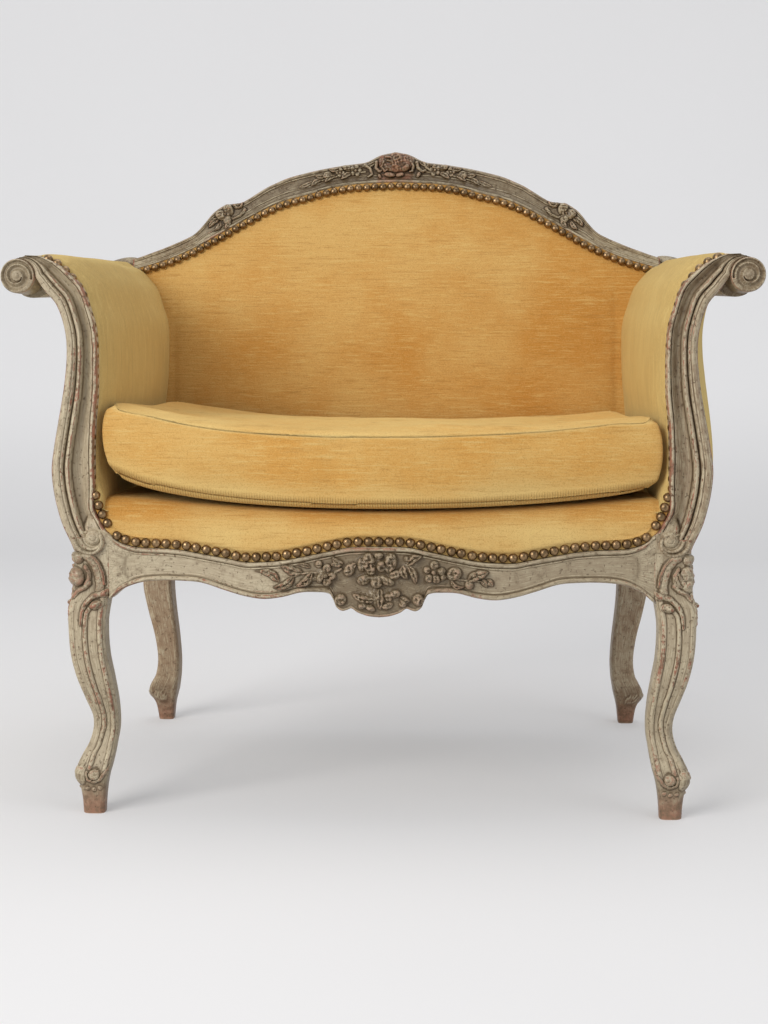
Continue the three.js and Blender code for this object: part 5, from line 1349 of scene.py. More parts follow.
def roll_ring(centre, width, height, heading):
    """A ring of a rolled rail with two fine beads along its outer side."""
    angle = np.linspace(0, 2 * np.pi, 73)[:-1]
    swell = 1 + 0.045 * bell(angle, 5.6, 0.09) + 0.045 * bell(angle, 0.55, 0.09)
    swell = swell - 0.03 * bell(angle, 5.35, 0.06) - 0.03 * bell(angle, 0.8, 0.06)
    across, up = np.cos(angle) * width / 2 * swell, np.sin(angle) * height / 2 * swell
    x, y, z = centre
    return xyz(x + across * math.cos(heading), y - across * math.sin(heading), z + up)


def arm_rails(side, name):
    """The rolled top rail of an arm and the shoulder that turns it into the back."""
    # The right arm's darker paint holds painted shade
    paint = "paint_right" if side > 0 else "paint"
    wide, tall = ROLL_WIDTH - 1.5, ROLL_HEIGHT - 1.5
    shares, places = np.linspace(0, 1, 40), np.linspace(FACING_THICK + FIT, ROLL_END_Y, 40)
    rail = [
        roll_ring((ROLL_X, y, mix(ROLL_Z, ROLL_Z + ARM_RISE, t)), wide, tall, 0) for t, y in zip(shares, places)
    ]
    end = (CREST_HALF + FIT, back_y(CREST_END) + 4 + STILE_THICK, CREST_END + 11)
    radius = ROLL_X - end[0]
    straight = end[1] - radius - ROLL_END_Y - FIT
    length = radius * math.pi / 2 + straight
    rings = []
    turns = [(angle, 0) for angle in np.linspace(0, math.pi / 2, 16)]
    for angle, after in turns + [(math.pi / 2, straight * k) for k in (0.3, 0.6, 1)]:
        t = (radius * angle + after) / length
        centre = (
            end[0] + radius * math.sin(angle),
            end[1] - radius * (1 - math.cos(angle)) - after,
            mix(end[2], ROLL_Z + ARM_RISE, float(smooth(0, 1, t))),
        )
        size = mix(STILE_THICK, wide, t), mix(22, tall, t)
        rings.append(roll_ring(centre, *size, angle - math.pi / 2))
    for label, node, shape in (("arm_rail_rolled", "arm_top_rail", rail), ("shoulder_turned", "shoulder", rings)):
        piece = ring_piece(f"{label}_{name}", np.array(shape), 70, side)
        mark_edges(piece, 5, 0.3)
        tone = "paint_crest" if node == "shoulder" else paint
        painted(piece, tone, f"{node}_{name}")


def panelled_rail(name, node, low, high, outwards):
    """A plain seat rail with softened edges and a sunk panel on its outer face."""
    chosen([])
    bpy.ops.mesh.primitive_cube_add(size=1, location=(low + high) / 2)
    piece = bpy.context.active_object
    piece.name = piece.data.name = name
    piece.scale = high - low
    bpy.ops.object.transform_apply(location=True, rotation=True, scale=True)
    mode("EDIT")
    bpy.ops.mesh.select_mode(type="FACE")
    bpy.ops.mesh.select_all(action="DESELECT")
    mode("OBJECT")
    for face in piece.data.polygons:
        face.select = face.normal.dot(outwards) > 0.9
    mode("EDIT")
    for inset, depth in ((0.009, 0), (0.003, -0.0025), (0.004, 0), (0.002, 0.0012)):
        bpy.ops.mesh.inset(thickness=inset, depth=depth)
    bpy.ops.mesh.select_all(action="SELECT")
    bpy.ops.mesh.bevel(offset=0.0012, segments=2, affect="EDGES")
    bpy.ops.mesh.normals_make_consistent(inside=False)
    mode("OBJECT")
    piece.data.shade_smooth()
    piece.data.set_sharp_from_angle(angle=math.radians(30))
    mark_edges(piece, 2)
    painted(piece, "paint_rear", node)


def side_rails():
    for side, name in SIDES:
        low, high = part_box(f"side_rail_{name}")
        low.y, high.y = (ORIGIN_Y + LEG_BLOCK + FIT) / 1000, (ORIGIN_Y + SEAT_DEPTH - POST - FIT) / 1000
        panelled_rail(f"side_rail_panelled_{name}", f"side_rail_{name}", low, high, Vector((side, 0, 0)))


def rear_rail():
    low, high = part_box("rear_rail")
    half = (SEAT_HALF - POST - FIT) / 1000
    low.x, high.x = -half, half
    panelled_rail("rear_rail_panelled", "rear_rail", low, high, Vector((0, 1, 0)))


# Upholstery


def wrinkles(a, b, seed, size, height):
    """Soft uneven waves over a stuffed face, the same on every run."""
    random = np.random.default_rng(seed)
    total = np.zeros_like(a)
    for _ in range(9):
        turn, phase = random.uniform(0, np.pi), random.uniform(0, 2 * np.pi)
        wave = random.uniform(0.7, 2.2) * size
        total = total + np.sin((a * np.cos(turn) + b * np.sin(turn)) * 2 * np.pi / wave + phase)
    return total * height / 3


def puckers(along, away, pitch, height, reach):
    """Small gathers between nails, fading away from their row."""
    return height * np.cos(2 * np.pi * along / pitch) * np.exp(-np.maximum(away, 0) / reach)


def back_pad():
    u, v = sheet_grid(-1, 220, 120)
    x = u * mix(SEAT_HALF - FIT, CREST_HALF - FIT, v)
    z = mix(RAIL_TOP + PAD_LIFT, crest_lip_z(x) + 0.8, v)
    top = crest_lip_z(x) - z
    open_share = np.cos(np.minimum(np.abs(x) / RAIL_HALF, 1) * np.pi / 2)
    crown = 17 * np.sqrt(open_share) * np.sin(np.pi * np.minimum(v * 0.995, 1)) * smooth(-1, 34, top) ** 0.8
    crown += wrinkles(x, z, 3, 260, 0.8) * smooth(0, 60, top)
    crown += puckers(x * 1.06, top - 9, NAIL_PITCH, 0.55, 9) * smooth(-2, 6, top)
    crown -= 1.2 * bell(top, 6, 7)
    face = xyz(x, back_y(z) - crown, z)
    back = xyz(x, back_y(z) + 25, z)
    piece = slab_piece("back_pad_velvet", face, back)
    # Painted sheen: paler low on the back, and a little towards its top
    nap = 0.5 * smooth(470, 420, z) + 0.2 * smooth(640, 840, z)
    store(piece.data, "nap", np.hstack([nap, nap[:, ::-1]]).ravel())
    finish_piece(piece, FINISHES["velvet_flat"], "velvet", "back_stuffing")


ARM_LOW = [(-6, 6), (0, 4.6), (5, 3.7), (10, 4.2), (12.4, 8), (13, 14), (13, 24), (13, 40)]
ARM_HIGH = [(-6, 20), (-1.5, 14.5), (0.6, 13.6), (3.0, 15), (5.4, 20), (8.2, 31), (10.5, 43), (12.6, 62)]


def arm_pad(side, name):
    """Inside of an arm, carried over its roll; the cover turns forward on the facing's rebate, then inside it."""
    start = 0.105
    s = np.linspace(start, 1, 120)[:, None]
    share = smooth(0.2, 0.33, s)[..., None]
    front = mix(np.array(ARM_LOW)[None], np.array(ARM_HIGH)[None], share)
    slim = 1 - 0.72 * smooth(0.84, 1, s)
    depth, y = front[..., 0] * slim, front[..., 1]
    spread = np.linspace(0, 1, 46)[1:][None, :]
    end = back_y(arm_inside(s, ARM_REACH)[1]) + 4 - 2 * FIT
    depth = np.hstack([depth, np.full((120, 45), 13.0) * slim])
    y = np.hstack([y, y[:, -1:] + (end - y[:, -1:]) * spread])
    nap = 2 * np.sin(np.pi * np.clip((y - 20) / (end - 20), 0, 1)) * np.sqrt(np.sin(np.pi * np.clip(s, 0, 0.98)))
    nap = nap - 7 * smooth(250, 480, y) * smooth(0.6, 0.85, s) * smooth(1, 0.9, s)
    depth = depth + nap + wrinkles(y, s * 330, 5 + side, 200, 0.5) * smooth(30, 90, y)
    depth += puckers(s * 345, y - 6, NAIL_PITCH, 0.4, 7) * (depth > 2)
    x, z = arm_inside(s, np.minimum(y, ARM_REACH), depth)
    low = RAIL_TOP + PAD_LIFT
    z = np.maximum(z, low + (s - start) * 40)
    turn = np.radians(np.linspace(126, 96, 18))[:, None]
    over_y = np.repeat(y[-1:], 18, 0)
    rise = ARM_RISE * np.minimum(over_y, ARM_REACH) / ARM_REACH
    proud = 0.3 + 2.3 * smooth(20, 120, over_y)
    over_x = ROLL_X + (ROLL_WIDTH / 2 + proud) * np.cos(turn)
    over_z = ROLL_Z + rise + (ROLL_HEIGHT / 2 + proud) * np.sin(turn)
    face = np.concatenate([xyz(x, y, z), xyz(over_x, over_y, over_z)])
    back_x, back_z = arm_inside(s, np.minimum(y, ARM_REACH), np.full_like(y, -9) * slim)
    back = xyz(back_x, np.maximum(y, 8), np.maximum(back_z, low + (s - start) * 40))
    under_x = ROLL_X + (ROLL_WIDTH / 2 - 2) * np.cos(turn)
    under_z = ROLL_Z + rise + (ROLL_HEIGHT / 2 - 2) * np.sin(turn)
    back = np.concatenate([back, xyz(under_x, np.maximum(over_y, 12), under_z)])
    piece = slab_piece(f"arm_pad_velvet_{name}", face, back, side)
    finish_piece(piece, FINISHES["velvet_upright"], "velvet", f"arm_stuffing_{name}")


# Across the seat past the rail's end, then the height of the facing's inner edge there
DECK_CORNER = [(345, 367.5), (349, 372), (355, 382), (359, 390), (361, 396)]


def seat_deck():
    end = DECK_CORNER[-1][0]
    x = stations(-end, (-345, 1.5), (345, 4), (end, 1.5))[:, None]
    past = np.maximum(np.abs(x) - RAIL_HALF, 0)
    low = np.where(past > 0, np.interp(np.abs(x), *zip(*DECK_CORNER)), rail_upper_z(x)) + FIT
    front, top = bow_y(x) + 3 + past * 0.05, deck_z(np.clip(x, -RAIL_HALF, RAIL_HALF)) - past * 0.2
    angle = np.linspace(0, np.pi / 2, 22)[None, :]
    belly = 5.5 * (1 - np.minimum(np.abs(x) / RAIL_HALF, 1) ** 4)
    y = front - belly + (30 + belly) * (1 - np.cos(angle)) + puckers(x, 0, NAIL_PITCH, 0.35, 9) * np.cos(angle) ** 3
    z = mix(low + np.maximum(14 - past * 0.3, 6), top, np.sin(angle))
    y = y + wrinkles(x + 0 * y, z * 3, 11, 160, 0.45) * np.sin(angle * 2)
    lip_z = low + (z[:, :1] - low) * np.array([[0, 0.14, 0.36, 0.57, 0.79, 0.93]])
    lip = front + np.array([[0.4, 0, 0, -0.2, -1.4, -3.4]]) * (belly > 0.3) + 0 * lip_z
    rear = float(back_y(RAIL_TOP + PAD_LIFT)) - FIT
    flat_y = mix(y[:, -1:], rear, np.linspace(0, 1, 14)[None, 1:])
    face_y = np.hstack([lip, y, flat_y])
    face_z = np.hstack([lip_z, z, np.repeat(top, 13, 1)])
    base = np.maximum(RAIL_TOP + 3.4, low + 0.5)
    ring_y = np.hstack([face_y, x * 0 + rear, bow_y(x) + 9.6, bow_y(x) + 9.6])
    ring_z = np.hstack([face_z, base, base, low])
    rings = xyz(x, ring_y, ring_z)
    piece = ring_piece("seat_deck_velvet", rings, 70)
    # Painted sheen: paler low on the deck's front roll
    store(piece.data, "nap", (0.75 * smooth(396, 372, ring_z)).ravel())
    finish_piece(piece, FINISHES["velvet_flat"], "velvet", "seat_deck")


def tight_cover(name, face, thickness, node, material, slot="velvet", side=1):
    """A cover stretched over the frame; the size that it was cut to is worked out but not kept."""
    piece = slab_piece(name, face, face - thickness, side)
    across = np.linalg.norm(np.diff(face, axis=0), axis=2).sum(0).max() / 1000
    along = np.linalg.norm(np.diff(face, axis=1), axis=2).sum(1).max() / 1000
    one, two = np.diff(face, axis=0)[:, :-1], np.diff(face, axis=1)[:-1]
    area = np.linalg.norm(np.cross(one, two), axis=2).sum() / 1e6
    finish_piece(piece, FINISHES[material], slot, node)


def outside_covers():
    for side, name in SIDES:
        u, v = sheet_grid(0, 90, 100)
        up = np.minimum(u / 0.9, 1)
        high = LEG_HEIGHT + 0.875 * ARM_SPAN
        level = mix(RAIL_TOP + 4, high, up)
        z = level + ARM_RISE * v * up
        front = SEAT_HALF + FACING_WIDTH * facing_outer((level - LEG_HEIGHT) / ARM_SPAN) - 4
        rear = stile_x(z, stile_outer) + 4
        arch = np.sqrt(np.maximum(0, 1 - (2 * v - 1) ** 4))
        belly = 32 * arch * np.sqrt(np.sin(np.pi * mix(0, 0.9, up)))
        tuck = 10 * np.maximum(u - 0.9, 0) / 0.1
        rolled = 32 * arch * math.sqrt(math.sin(math.pi * 0.9)) * (1 - tuck / 10) + tuck
        belly = np.where(u > 0.9, rolled, belly)
        belly = belly + wrinkles(v * 500, z, 21 + side, 240, 0.5) * arch
        face = xyz(mix(front, rear, v) + belly, mix(FACING_THICK + FIT, back_y(z) + ARM_COVER_BEHIND, v), z)
        tight_cover(
            f"arm_outside_velvet_{name}", face, (COVER_THICK, 0, 0), f"arm_outside_cover_{name}",
            "velvet_outside", side=side,
        )
    u, v = sheet_grid(-1, 150, 80)
    x = u * mix(SEAT_HALF - FIT, CREST_HALF - FIT, v)
    z = mix(RAIL_TOP + FIT, crest_lower_z(x) - 5 - FIT, v)
    bulge = 3 * np.cos(u * np.pi / 2) * np.sin(np.pi * v)
    face = xyz(x, back_y(z) + COVER_BEHIND + bulge, z)
    tight_cover("back_outside_velvet", face, (0, COVER_THICK, 0), "back_outside_cover", "velvet_flat")


CUSHION_CLEAR = 11.5  # from the facing's land to the cushion's seam, which its swollen sides then partly fill


def cushion_place(a, b, level, sizes):
    """A place on the cushion: a and b from -1 to 1 across and back, level from the bottom seam to the top one."""
    half = SEAT_HALF - 0.8 * FACING_WIDTH - LAND - CUSHION_CLEAR
    front = bow_y(a * half) + 3
    rear = back_y(DECK_HEIGHT) - 17
    swell = 1.15 * dome(2 * level - 1) ** 0.7
    draw_a = 5 * (1 - a**2) + 9 * np.abs(a) ** 12
    draw_b = mix(6, 1, smooth(0, -1, b)) * (1 - b**2) + mix(9, -2, smooth(0, -0.8, b)) * np.abs(b) ** 10
    corner = smooth(0.82, 1, np.abs(a)) * smooth(-0.8, -1, b)
    x = a * (half - draw_b + swell * (4.5 + 11 * corner) - 5 * corner)
    depth = (rear - front) / 2
    y = front + depth + b * (depth - draw_a + swell * (5 + 5 * corner) - 7 * corner)
    arch = np.sqrt(np.maximum(0, np.cos(a * np.pi / 2) * np.cos(b * np.pi / 2)))
    fore = smooth(0.2, -1, b)
    curl = np.abs(x / half) ** 4 * np.where(a < 0, mix(16, 24, fore), mix(1, 7, fore))
    under = -(8.6 + 0.55 * curl) * np.maximum(arch, 1e-9) ** 0.35
    seam = deck_z(x) + FIT + 9 + curl + level * (88 - 6 * corner)
    return xyz(x, y, seam + mix(under, arch * (sizes.crown * 1000 - 2), level))


# Swellings and hollows of the cushion's top: height, then place and reach across and back
CUSHION_HUMPS = [(9, 70, 120, 95, 44), (-7, 60, 110, 30, 26), (4, -190, 110, 120, 60)]


def cushion(sizes):
    count, high = 84, 15
    even = np.linspace(-1, 1, count + 1)
    t = np.sin(even * np.pi / 2) * 0.35 + even * 0.65
    a, b = np.meshgrid(t, t, indexing="ij")
    rows = count + 1
    sheet = rows * rows
    run = range(count)
    rim = [i * rows for i in run] + [count * rows + j for j in run]
    rim_index = np.array(rim + [(count - i) * rows + count for i in run] + [count - j for j in run])
    rim_a, rim_b = a.ravel()[rim_index], b.ravel()[rim_index]
    points = [cushion_place(a, b, level, sizes).reshape(-1, 3) for level in (1.0, 0.0)]
    reach = np.maximum(np.abs(a), np.abs(b)).ravel()
    seam = [np.zeros(sheet), smooth(0.9, 0.97, reach)]
    levels = np.linspace(1, 0, high + 2)[1:-1]
    for level in levels:
        points.append(cushion_place(rim_a, rim_b, level, sizes))
        seam.append(np.full(len(rim_index), 0.9 if level < 0.1 else 0.0))
    points, seam = np.concatenate(points), np.concatenate(seam)
    top = grid_faces(rows, rows, False)
    under = grid_faces(rows, rows, False)[:, ::-1] + sheet
    wall = 2 * sheet + np.arange(high * len(rim_index)).reshape(high, len(rim_index))
    wall = np.vstack([rim_index, wall, rim_index + sheet])
    wall = np.hstack([wall, wall[:, :1]])
    sides = np.stack([wall[:-1, :-1], wall[1:, :-1], wall[1:, 1:], wall[:-1, 1:]], -1).reshape(-1, 4)
    piece = new_mesh("seat_cushion_velvet", points, np.concatenate([top, under, sides]), sharp=180)
    # The seam mark sets ribs and painted shade at the cushion's lowest seam and round its underside
    store(piece.data, "seam", seam)
    # Painted sheen: paler on the lower band of the cushion's sides and over its faces, and a painted highlight along
    # its top seam
    wall_nap = np.repeat(0.85 * smooth(0.42, 0.05, levels), len(rim_index))
    nap = np.concatenate([np.full(sheet, 0.55), np.full(sheet, 0.6), wall_nap])
    nap[rim_index] = 0.95
    store(piece.data, "nap", nap)
    held = np.zeros(len(points))
    held[rim_index] = held[rim_index + sheet] = 0.9
    held[sheet: 2 * sheet] = np.maximum(held[sheet: 2 * sheet], 0.97)
    puff(piece, held, 4.0, 20, 13)
    places = mesh_points(piece.data) * 1000
    normal = mesh_points(piece.data, "normal")
    rise = np.zeros(len(points))
    rise[rim_index], rise[rim_index + sheet] = sizes.seam * 1700, sizes.seam * 900
    near = np.isin(np.arange(len(points)), wall[[1, -2]].ravel())
    rise[near] = sizes.seam * 900
    x, y = places[:, 0], places[:, 1] - ORIGIN_Y
    hump = sum(
        height * np.exp(-(((x - at_x) / wide) ** 2 + ((y - at_y) / deep) ** 2))
        for height, at_x, wide, at_y, deep in CUSHION_HUMPS
    )
    folds = wrinkles(x, y, 31, 170, 1.5) + wrinkles(x, y * 2.4, 33, 90, 0.7)
    rise[:sheet] += (hump + folds)[:sheet] * (1 - smooth(0.8, 1, reach))
    sag = wrinkles(x + y, places[:, 2] * 0.6, 37, 130, 1.1) - 2.2 * bell(x, -55, 16)
    rise[2 * sheet:] += sag[2 * sheet:]
    move_points(piece, (places + normal * rise[:, None]) / 1000)
    chosen([piece])
    soft = piece.modifiers.new("Subdivision", "SUBSURF")
    soft.levels = soft.render_levels = 1
    bpy.ops.object.modifier_apply(modifier=soft.name)
    finish_piece(piece, FINISHES["velvet_cushion"], "velvet", "seat_cushion", body="cushion")


def puff(piece, held, pressure, frames, cap):
    """Swells a pad by air pressure in its cloth, its held points hardly moving and none moving past the cap."""
    before = mesh_points(piece.data)
    group = piece.vertex_groups.new(name="held")
    for weight in np.unique(held[held > 0]):
        group.add(np.flatnonzero(held == weight).tolist(), float(weight), "REPLACE")
    cloth = piece.modifiers.new("Cloth", "CLOTH")
    cloth.settings.use_pressure = True
    cloth.settings.uniform_pressure_force = pressure
    cloth.settings.effector_weights.gravity = 0
    cloth.settings.vertex_group_mass = group.name
    for frame_number in range(1, frames + 1):
        bpy.context.scene.frame_set(frame_number)
    seen = piece.evaluated_get(bpy.context.evaluated_depsgraph_get())
    moved = mesh_points(seen.data) - before
    length = np.linalg.norm(moved, axis=1)[:, None] + 1e-9
    piece.modifiers.remove(cloth)
    piece.vertex_groups.remove(group)
    move_points(piece, before + moved * np.minimum(1, cap / 1000 / length))
    bpy.context.scene.frame_set(1)


# Nails


def nail_shape(sizes):
    """Points and faces of one domed head, made from a ball cut in half and flattened."""
    chosen([])
    bpy.ops.mesh.primitive_uv_sphere_add(segments=12, ring_count=8, radius=sizes.nail)
    head = bpy.context.active_object
    mode("EDIT")
    bpy.ops.mesh.select_all(action="SELECT")
    bpy.ops.mesh.bisect(plane_co=(0, 0, 0), plane_no=(0, 0, -1), clear_outer=True, use_fill=True)
    bpy.ops.mesh.select_all(action="SELECT")
    bpy.ops.transform.resize(value=(1, 1, sizes.nail_height / sizes.nail))
    mode("OBJECT")
    points = mesh_points(head.data) * 1000
    # Blender lists the ball's faces, and the corners of the cut's flat cap, in another order on another run
    faces = []
    for corners in (list(face.vertices) for face in head.data.polygons):
        start = corners.index(min(corners)) if len(corners) > 4 else 0
        faces.append(corners[start:] + corners[:start])
    bpy.data.objects.remove(head)
    return points, sorted(faces)


def nail_row(name, node, line, outwards, sizes):
    """Nails set side by side along a line, each a little turned and tilted as they are when driven by hand."""
    shape, faces = nail_shape(sizes)
    random = np.random.default_rng(len(name))
    length = distances(line)
    at = np.linspace(0, length[-1], round(length[-1] / NAIL_PITCH) + 1)
    centres, normals = read_along(at, length, line), read_along(at, length, outwards)
    normals += random.normal(0, 0.05, normals.shape)
    centres += random.normal(0, 0.22, centres.shape)
    points, loops = [], []
    for i, (centre, normal) in enumerate(zip(centres, normals)):
        turn = Vector(normal).to_track_quat("Z", "Y").to_matrix()
        loops += [[v + i * len(shape) for v in face] for face in faces]
        points.append(shape @ np.array(turn).T + centre)
    piece = place_mesh(name, np.concatenate(points), loops, 60)
    finish_piece(piece, FINISHES["brass"], "brass_nails", node)


def seat_nails(sizes):
    x = np.linspace(-1, 1, 300) * (RAIL_HALF - 10)
    line = xyz(x, bow_y(x) + 2.4, rail_upper_z(x) + 6.6)
    slope = np.gradient(bow_y(x), x)
    nail_row("seat_nail_row", "seat_nails", line, xyz(slope, -1.0, 0.0), sizes)


def crest_nails(sizes):
    x = np.linspace(-1, 1, 400) * (CREST_HALF - 12)
    slope = np.gradient(crest_lip_z(x), x)
    drop = 5.8 * np.sqrt(1 + slope**2)
    z = crest_lip_z(x) - drop
    line = xyz(x, back_y(z) - 2.4, z)
    nail_row("crest_nail_row", "crest_nails", line, xyz(0 * x, -1.0, RAKE), sizes)


def arm_nails(side, name, sizes):
    s = mix(0.085, 0.95, np.linspace(0, 1, 300))
    share = smooth(0.2, 0.26, s)
    y = mix(3.2, 9.5, share)
    x, z = arm_inside(s, 0, mix(6.4, mix(-1.8, -0.2, smooth(0.7, 0.9, s)), share))
    nx, nz = arm_inside(s, 0, 10)
    fx, fz = arm_inside(s, 0, 0)
    inward = xyz((nx - fx) / 10, 0.0, (nz - fz) / 10)
    outwards = mix(np.array([[0, -1.0, 0]]), inward + np.array([[0, -0.12, 0]]), share[:, None])
    flip = (side, 1, 1)
    nail_row(f"arm_nail_row_{name}", f"arm_nails_{name}", xyz(x, y, z) * flip, outwards * flip, sizes)


# Webbing and hessian

STRAP_WIDTH, STRAP_GAP, STRAP_THICK = 60, 62, 1.1
STRAP_RINGS = 90


def woven_straps(name, node, place, wide, long):
    """Crossed straps that pass over and under each other; place turns across, along and height into a point."""
    half, thick = STRAP_WIDTH / 2, STRAP_THICK
    section = np.array([(-half, -thick / 2), (half, -thick / 2), (half, thick / 2), (-half, thick / 2)])
    sizes = (wide, long)
    counts = [max(2, round((size + STRAP_GAP) / (STRAP_WIDTH + STRAP_GAP))) for size in sizes]
    pitches = [(size - STRAP_WIDTH) / (count - 1) for size, count in zip(sizes, counts)]
    rings = []
    for axis in (0, 1):
        along = np.linspace(0, sizes[1 - axis], STRAP_RINGS)
        for i in range(counts[axis]):
            over = np.cos(np.pi * (along - half) / pitches[1 - axis]) * (1 if (i + axis) % 2 else -1)
            ring = np.zeros((STRAP_RINGS, 4, 3))
            ring[..., axis] = half + i * pitches[axis] + section[:, 0]
            ring[..., 1 - axis] = along[:, None]
            ring[..., 2] = 0.75 * over[:, None] * thick + section[:, 1]
            rings.append(place(ring[:, ::-1] if axis else ring))
    points = np.concatenate([ring.reshape(-1, 3) for ring in rings])
    starts = range(0, len(points), STRAP_RINGS * 4)
    faces = np.concatenate([grid_faces(STRAP_RINGS, 4, True) + start for start in starts])
    last = STRAP_RINGS * 4 - 4
    caps = [[start + k for k in cap] for start in starts for cap in ((3, 2, 1, 0), range(last, last + 4))]
    finish_piece(new_mesh(name, points, faces, caps), FINISHES["jute"], "jute", node)


def seat_support():
    seat_wide = 2 * SEAT_HALF - 92

    def seat_place(points):
        return points + (-seat_wide / 2, 56, RAIL_TOP + 1.3)

    woven_straps("seat_webbing_straps", "seat_webbing", seat_place, seat_wide, SEAT_DEPTH - 110)

    def back_place(points):
        low = RAIL_TOP + BACK_WEB_LIFT
        across = points[..., 0] - BACK_WEB_WIDE / 2
        top = crest_lower_z(across) - 6
        z = low + points[..., 1] / BACK_WEB_LONG * (top - low)
        return xyz(across, back_y(z) + WEBBING_BEHIND - points[..., 2], z)

    woven_straps("back_webbing_straps", "back_webbing", back_place, BACK_WEB_WIDE, BACK_WEB_LONG)
    u, v = sheet_grid(-1, 30, 30)
    face = xyz(u * 344, mix(50, 540, v), RAIL_TOP + 3.0)
    sheets = [("seat", face, (0, 0, HESSIAN_THICK))]
    x = u * mix(362, 384, v)
    z = mix(RAIL_TOP + BACK_WEB_LIFT, crest_lower_z(x) - 6, v)
    sheets.append(("back", xyz(x, back_y(z) + HESSIAN_BEHIND, z), (0, HESSIAN_THICK, 0)))
    for place, face, thick in sheets:
        tight_cover(f"{place}_hessian_cloth", face, thick, f"{place}_hessian", "jute", "jute")


def dress_hidden():
    """Gives the frame's own hidden pieces their finish."""
    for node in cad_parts.values():
        if node.hide_render:
            continue
        node.data.materials.clear()
        node.data.materials.append(FINISHES["paint" if "peg" in node.name else "beech"])


# Stage


def make_stage(colours):
    """Floor with a curved backdrop, soft lamps and the camera."""
    chosen([])
    bpy.ops.mesh.primitive_plane_add(size=1, location=(0, 0, 0))
    floor = bpy.context.active_object
    floor.name = floor.data.name = "floor_and_backdrop"
    bpy.ops.transform.resize(value=(14, 9, 1))
    bpy.ops.object.transform_apply(location=True, rotation=True, scale=True)
    mode("EDIT")
    bpy.ops.mesh.select_mode(type="EDGE")
    bpy.ops.mesh.select_all(action="DESELECT")
    mode("OBJECT")
    rear = max(v.co.y for v in floor.data.vertices)
    for edge in floor.data.edges:
        edge.select = all(abs(floor.data.vertices[v].co.y - rear) < 1e-4 for v in edge.vertices)
    mode("EDIT")
    bpy.ops.mesh.extrude_region_move(TRANSFORM_OT_translate={"value": (0, 0, 6)})
    mode("OBJECT")
    for edge in floor.data.edges:
        ends = [floor.data.vertices[v].co for v in edge.vertices]
        edge.select = all(abs(end.y - rear) < 1e-4 and end.z < 1e-4 for end in ends)
    mode("EDIT")
    bpy.ops.mesh.bevel(offset=2.0, segments=24, affect="EDGES")
    mode("OBJECT")
    floor.data.shade_smooth()
    floor.data.materials.append(floor_material(colours))
    scene = bpy.context.scene
    scene.world = scene.world or bpy.data.worlds.new("studio")
    scene.world.use_nodes = True
    sky = scene.world.node_tree.nodes["Background"]
    sky.inputs["Color"].default_value = (0.93, 0.95, 1, 1)
    sky.inputs["Strength"].default_value = 0.5
    lamps = [
        ("key_lamp", (-2.6, -3.2, 2.2), 128, 2.4, (1, 0.98, 0.95)),
        ("fill_lamp", (3.0, -2.2, 1.5), 20, 2.2, (0.96, 0.98, 1)),
        ("top_lamp", (0.2, 0.4, 3.4), 26, 2.4, (1, 1, 1)),
    ]
    for name, place, power, size, colour in lamps:
        bpy.ops.object.light_add(type="AREA", location=place)
        lamp = bpy.context.active_object
        lamp.name = lamp.data.name = name
        lamp.data.energy, lamp.data.size, lamp.data.color = power, size, colour
        lamp.rotation_euler = (Vector((0, 0, 0.45)) - Vector(place)).to_track_quat("-Z", "Y").to_euler()
    bpy.ops.object.camera_add(
        location=(0.0871, -2.0063 + ORIGIN_Y / 1000, 0.5859),
        rotation=(math.radians(90 - 5.39), 0, math.radians(2.33)),
    )
    camera = bpy.context.active_object
    camera.name = camera.data.name = "camera"
    camera.data.lens, camera.data.sensor_width = 56.25, 36
    scene.camera = camera
    scene.view_settings.view_transform = "Standard"


def floor_material(colours):
    """Pale paper: as written to the camera and in reflections, with the object's shadow on it."""
    made = bpy.data.materials.new("pale_paper")
    made.use_nodes = True
    shop = Shop(made.node_tree)
    surface = made.node_tree.nodes["Principled BSDF"]
    tint = shop.noise(shop.place(), 1.3, 2, 0.5)
    colour = shop.blend(shop.rise(tint, 0.3, 0.7), (*colours.floor, 1), (*[c * 0.985 for c in colours.floor], 1))
    shop.put(surface.inputs["Base Color"], colour)
    surface.inputs["Roughness"].default_value = 0.9
    surface.inputs["Specular IOR Level"].default_value = 0.1
    rays = shop.node("ShaderNodeLightPath")
    seen = shop.math("MAXIMUM", rays.outputs["Is Camera Ray"], rays.outputs["Is Glossy Ray"])
    surface.inputs["Emission Color"].default_value = (1, 1, 1, 1)
    glow = shop.rise(shop.split(shop.place())[2], 0.0, 0.5, 0.26, 0.35)
    shop.put(surface.inputs["Emission Strength"], seen * glow)
    return made


# Operators and panel


class BERGERE_OT_stage(bpy.types.Operator):
    """Set up the finishes, the floor and backdrop, the lamps and the camera"""

    bl_idname = "bergere.stage"
    bl_label = "Stage and finishes"

    def execute(self, context):
        make_finishes(context.scene.bergere_colours)
        make_stage(context.scene.bergere_colours)
        return {"FINISHED"}


class BERGERE_OT_legs(bpy.types.Operator):
    """Carve the front legs and shape the rear posts"""

    bl_idname = "bergere.legs"
    bl_label = "Legs and posts"

    def execute(self, context):
        for side, name in SIDES:
            front_leg(side, name)
            rear_post(side, name)
        return {"FINISHED"}


class BERGERE_OT_rails(bpy.types.Operator):
    """Carve the front rail and the crest rail, and make the side and rear rails"""

    bl_idname = "bergere.rails"
    bl_label = "Rails"

    def execute(self, context):
        front_rail(context.scene.bergere_sizes)
        crest_rail(context.scene.bergere_sizes)
        side_rails()
        rear_rail()
        return {"FINISHED"}


class BERGERE_OT_arms(bpy.types.Operator):
    """Make the arm facings with their volutes, the rolled arm rails and the shoulders"""

    bl_idname = "bergere.arms"
    bl_label = "Arms"

    def execute(self, context):
        for side, name in SIDES:
            arm_facing(side, name)
            arm_rails(side, name)
        return {"FINISHED"}


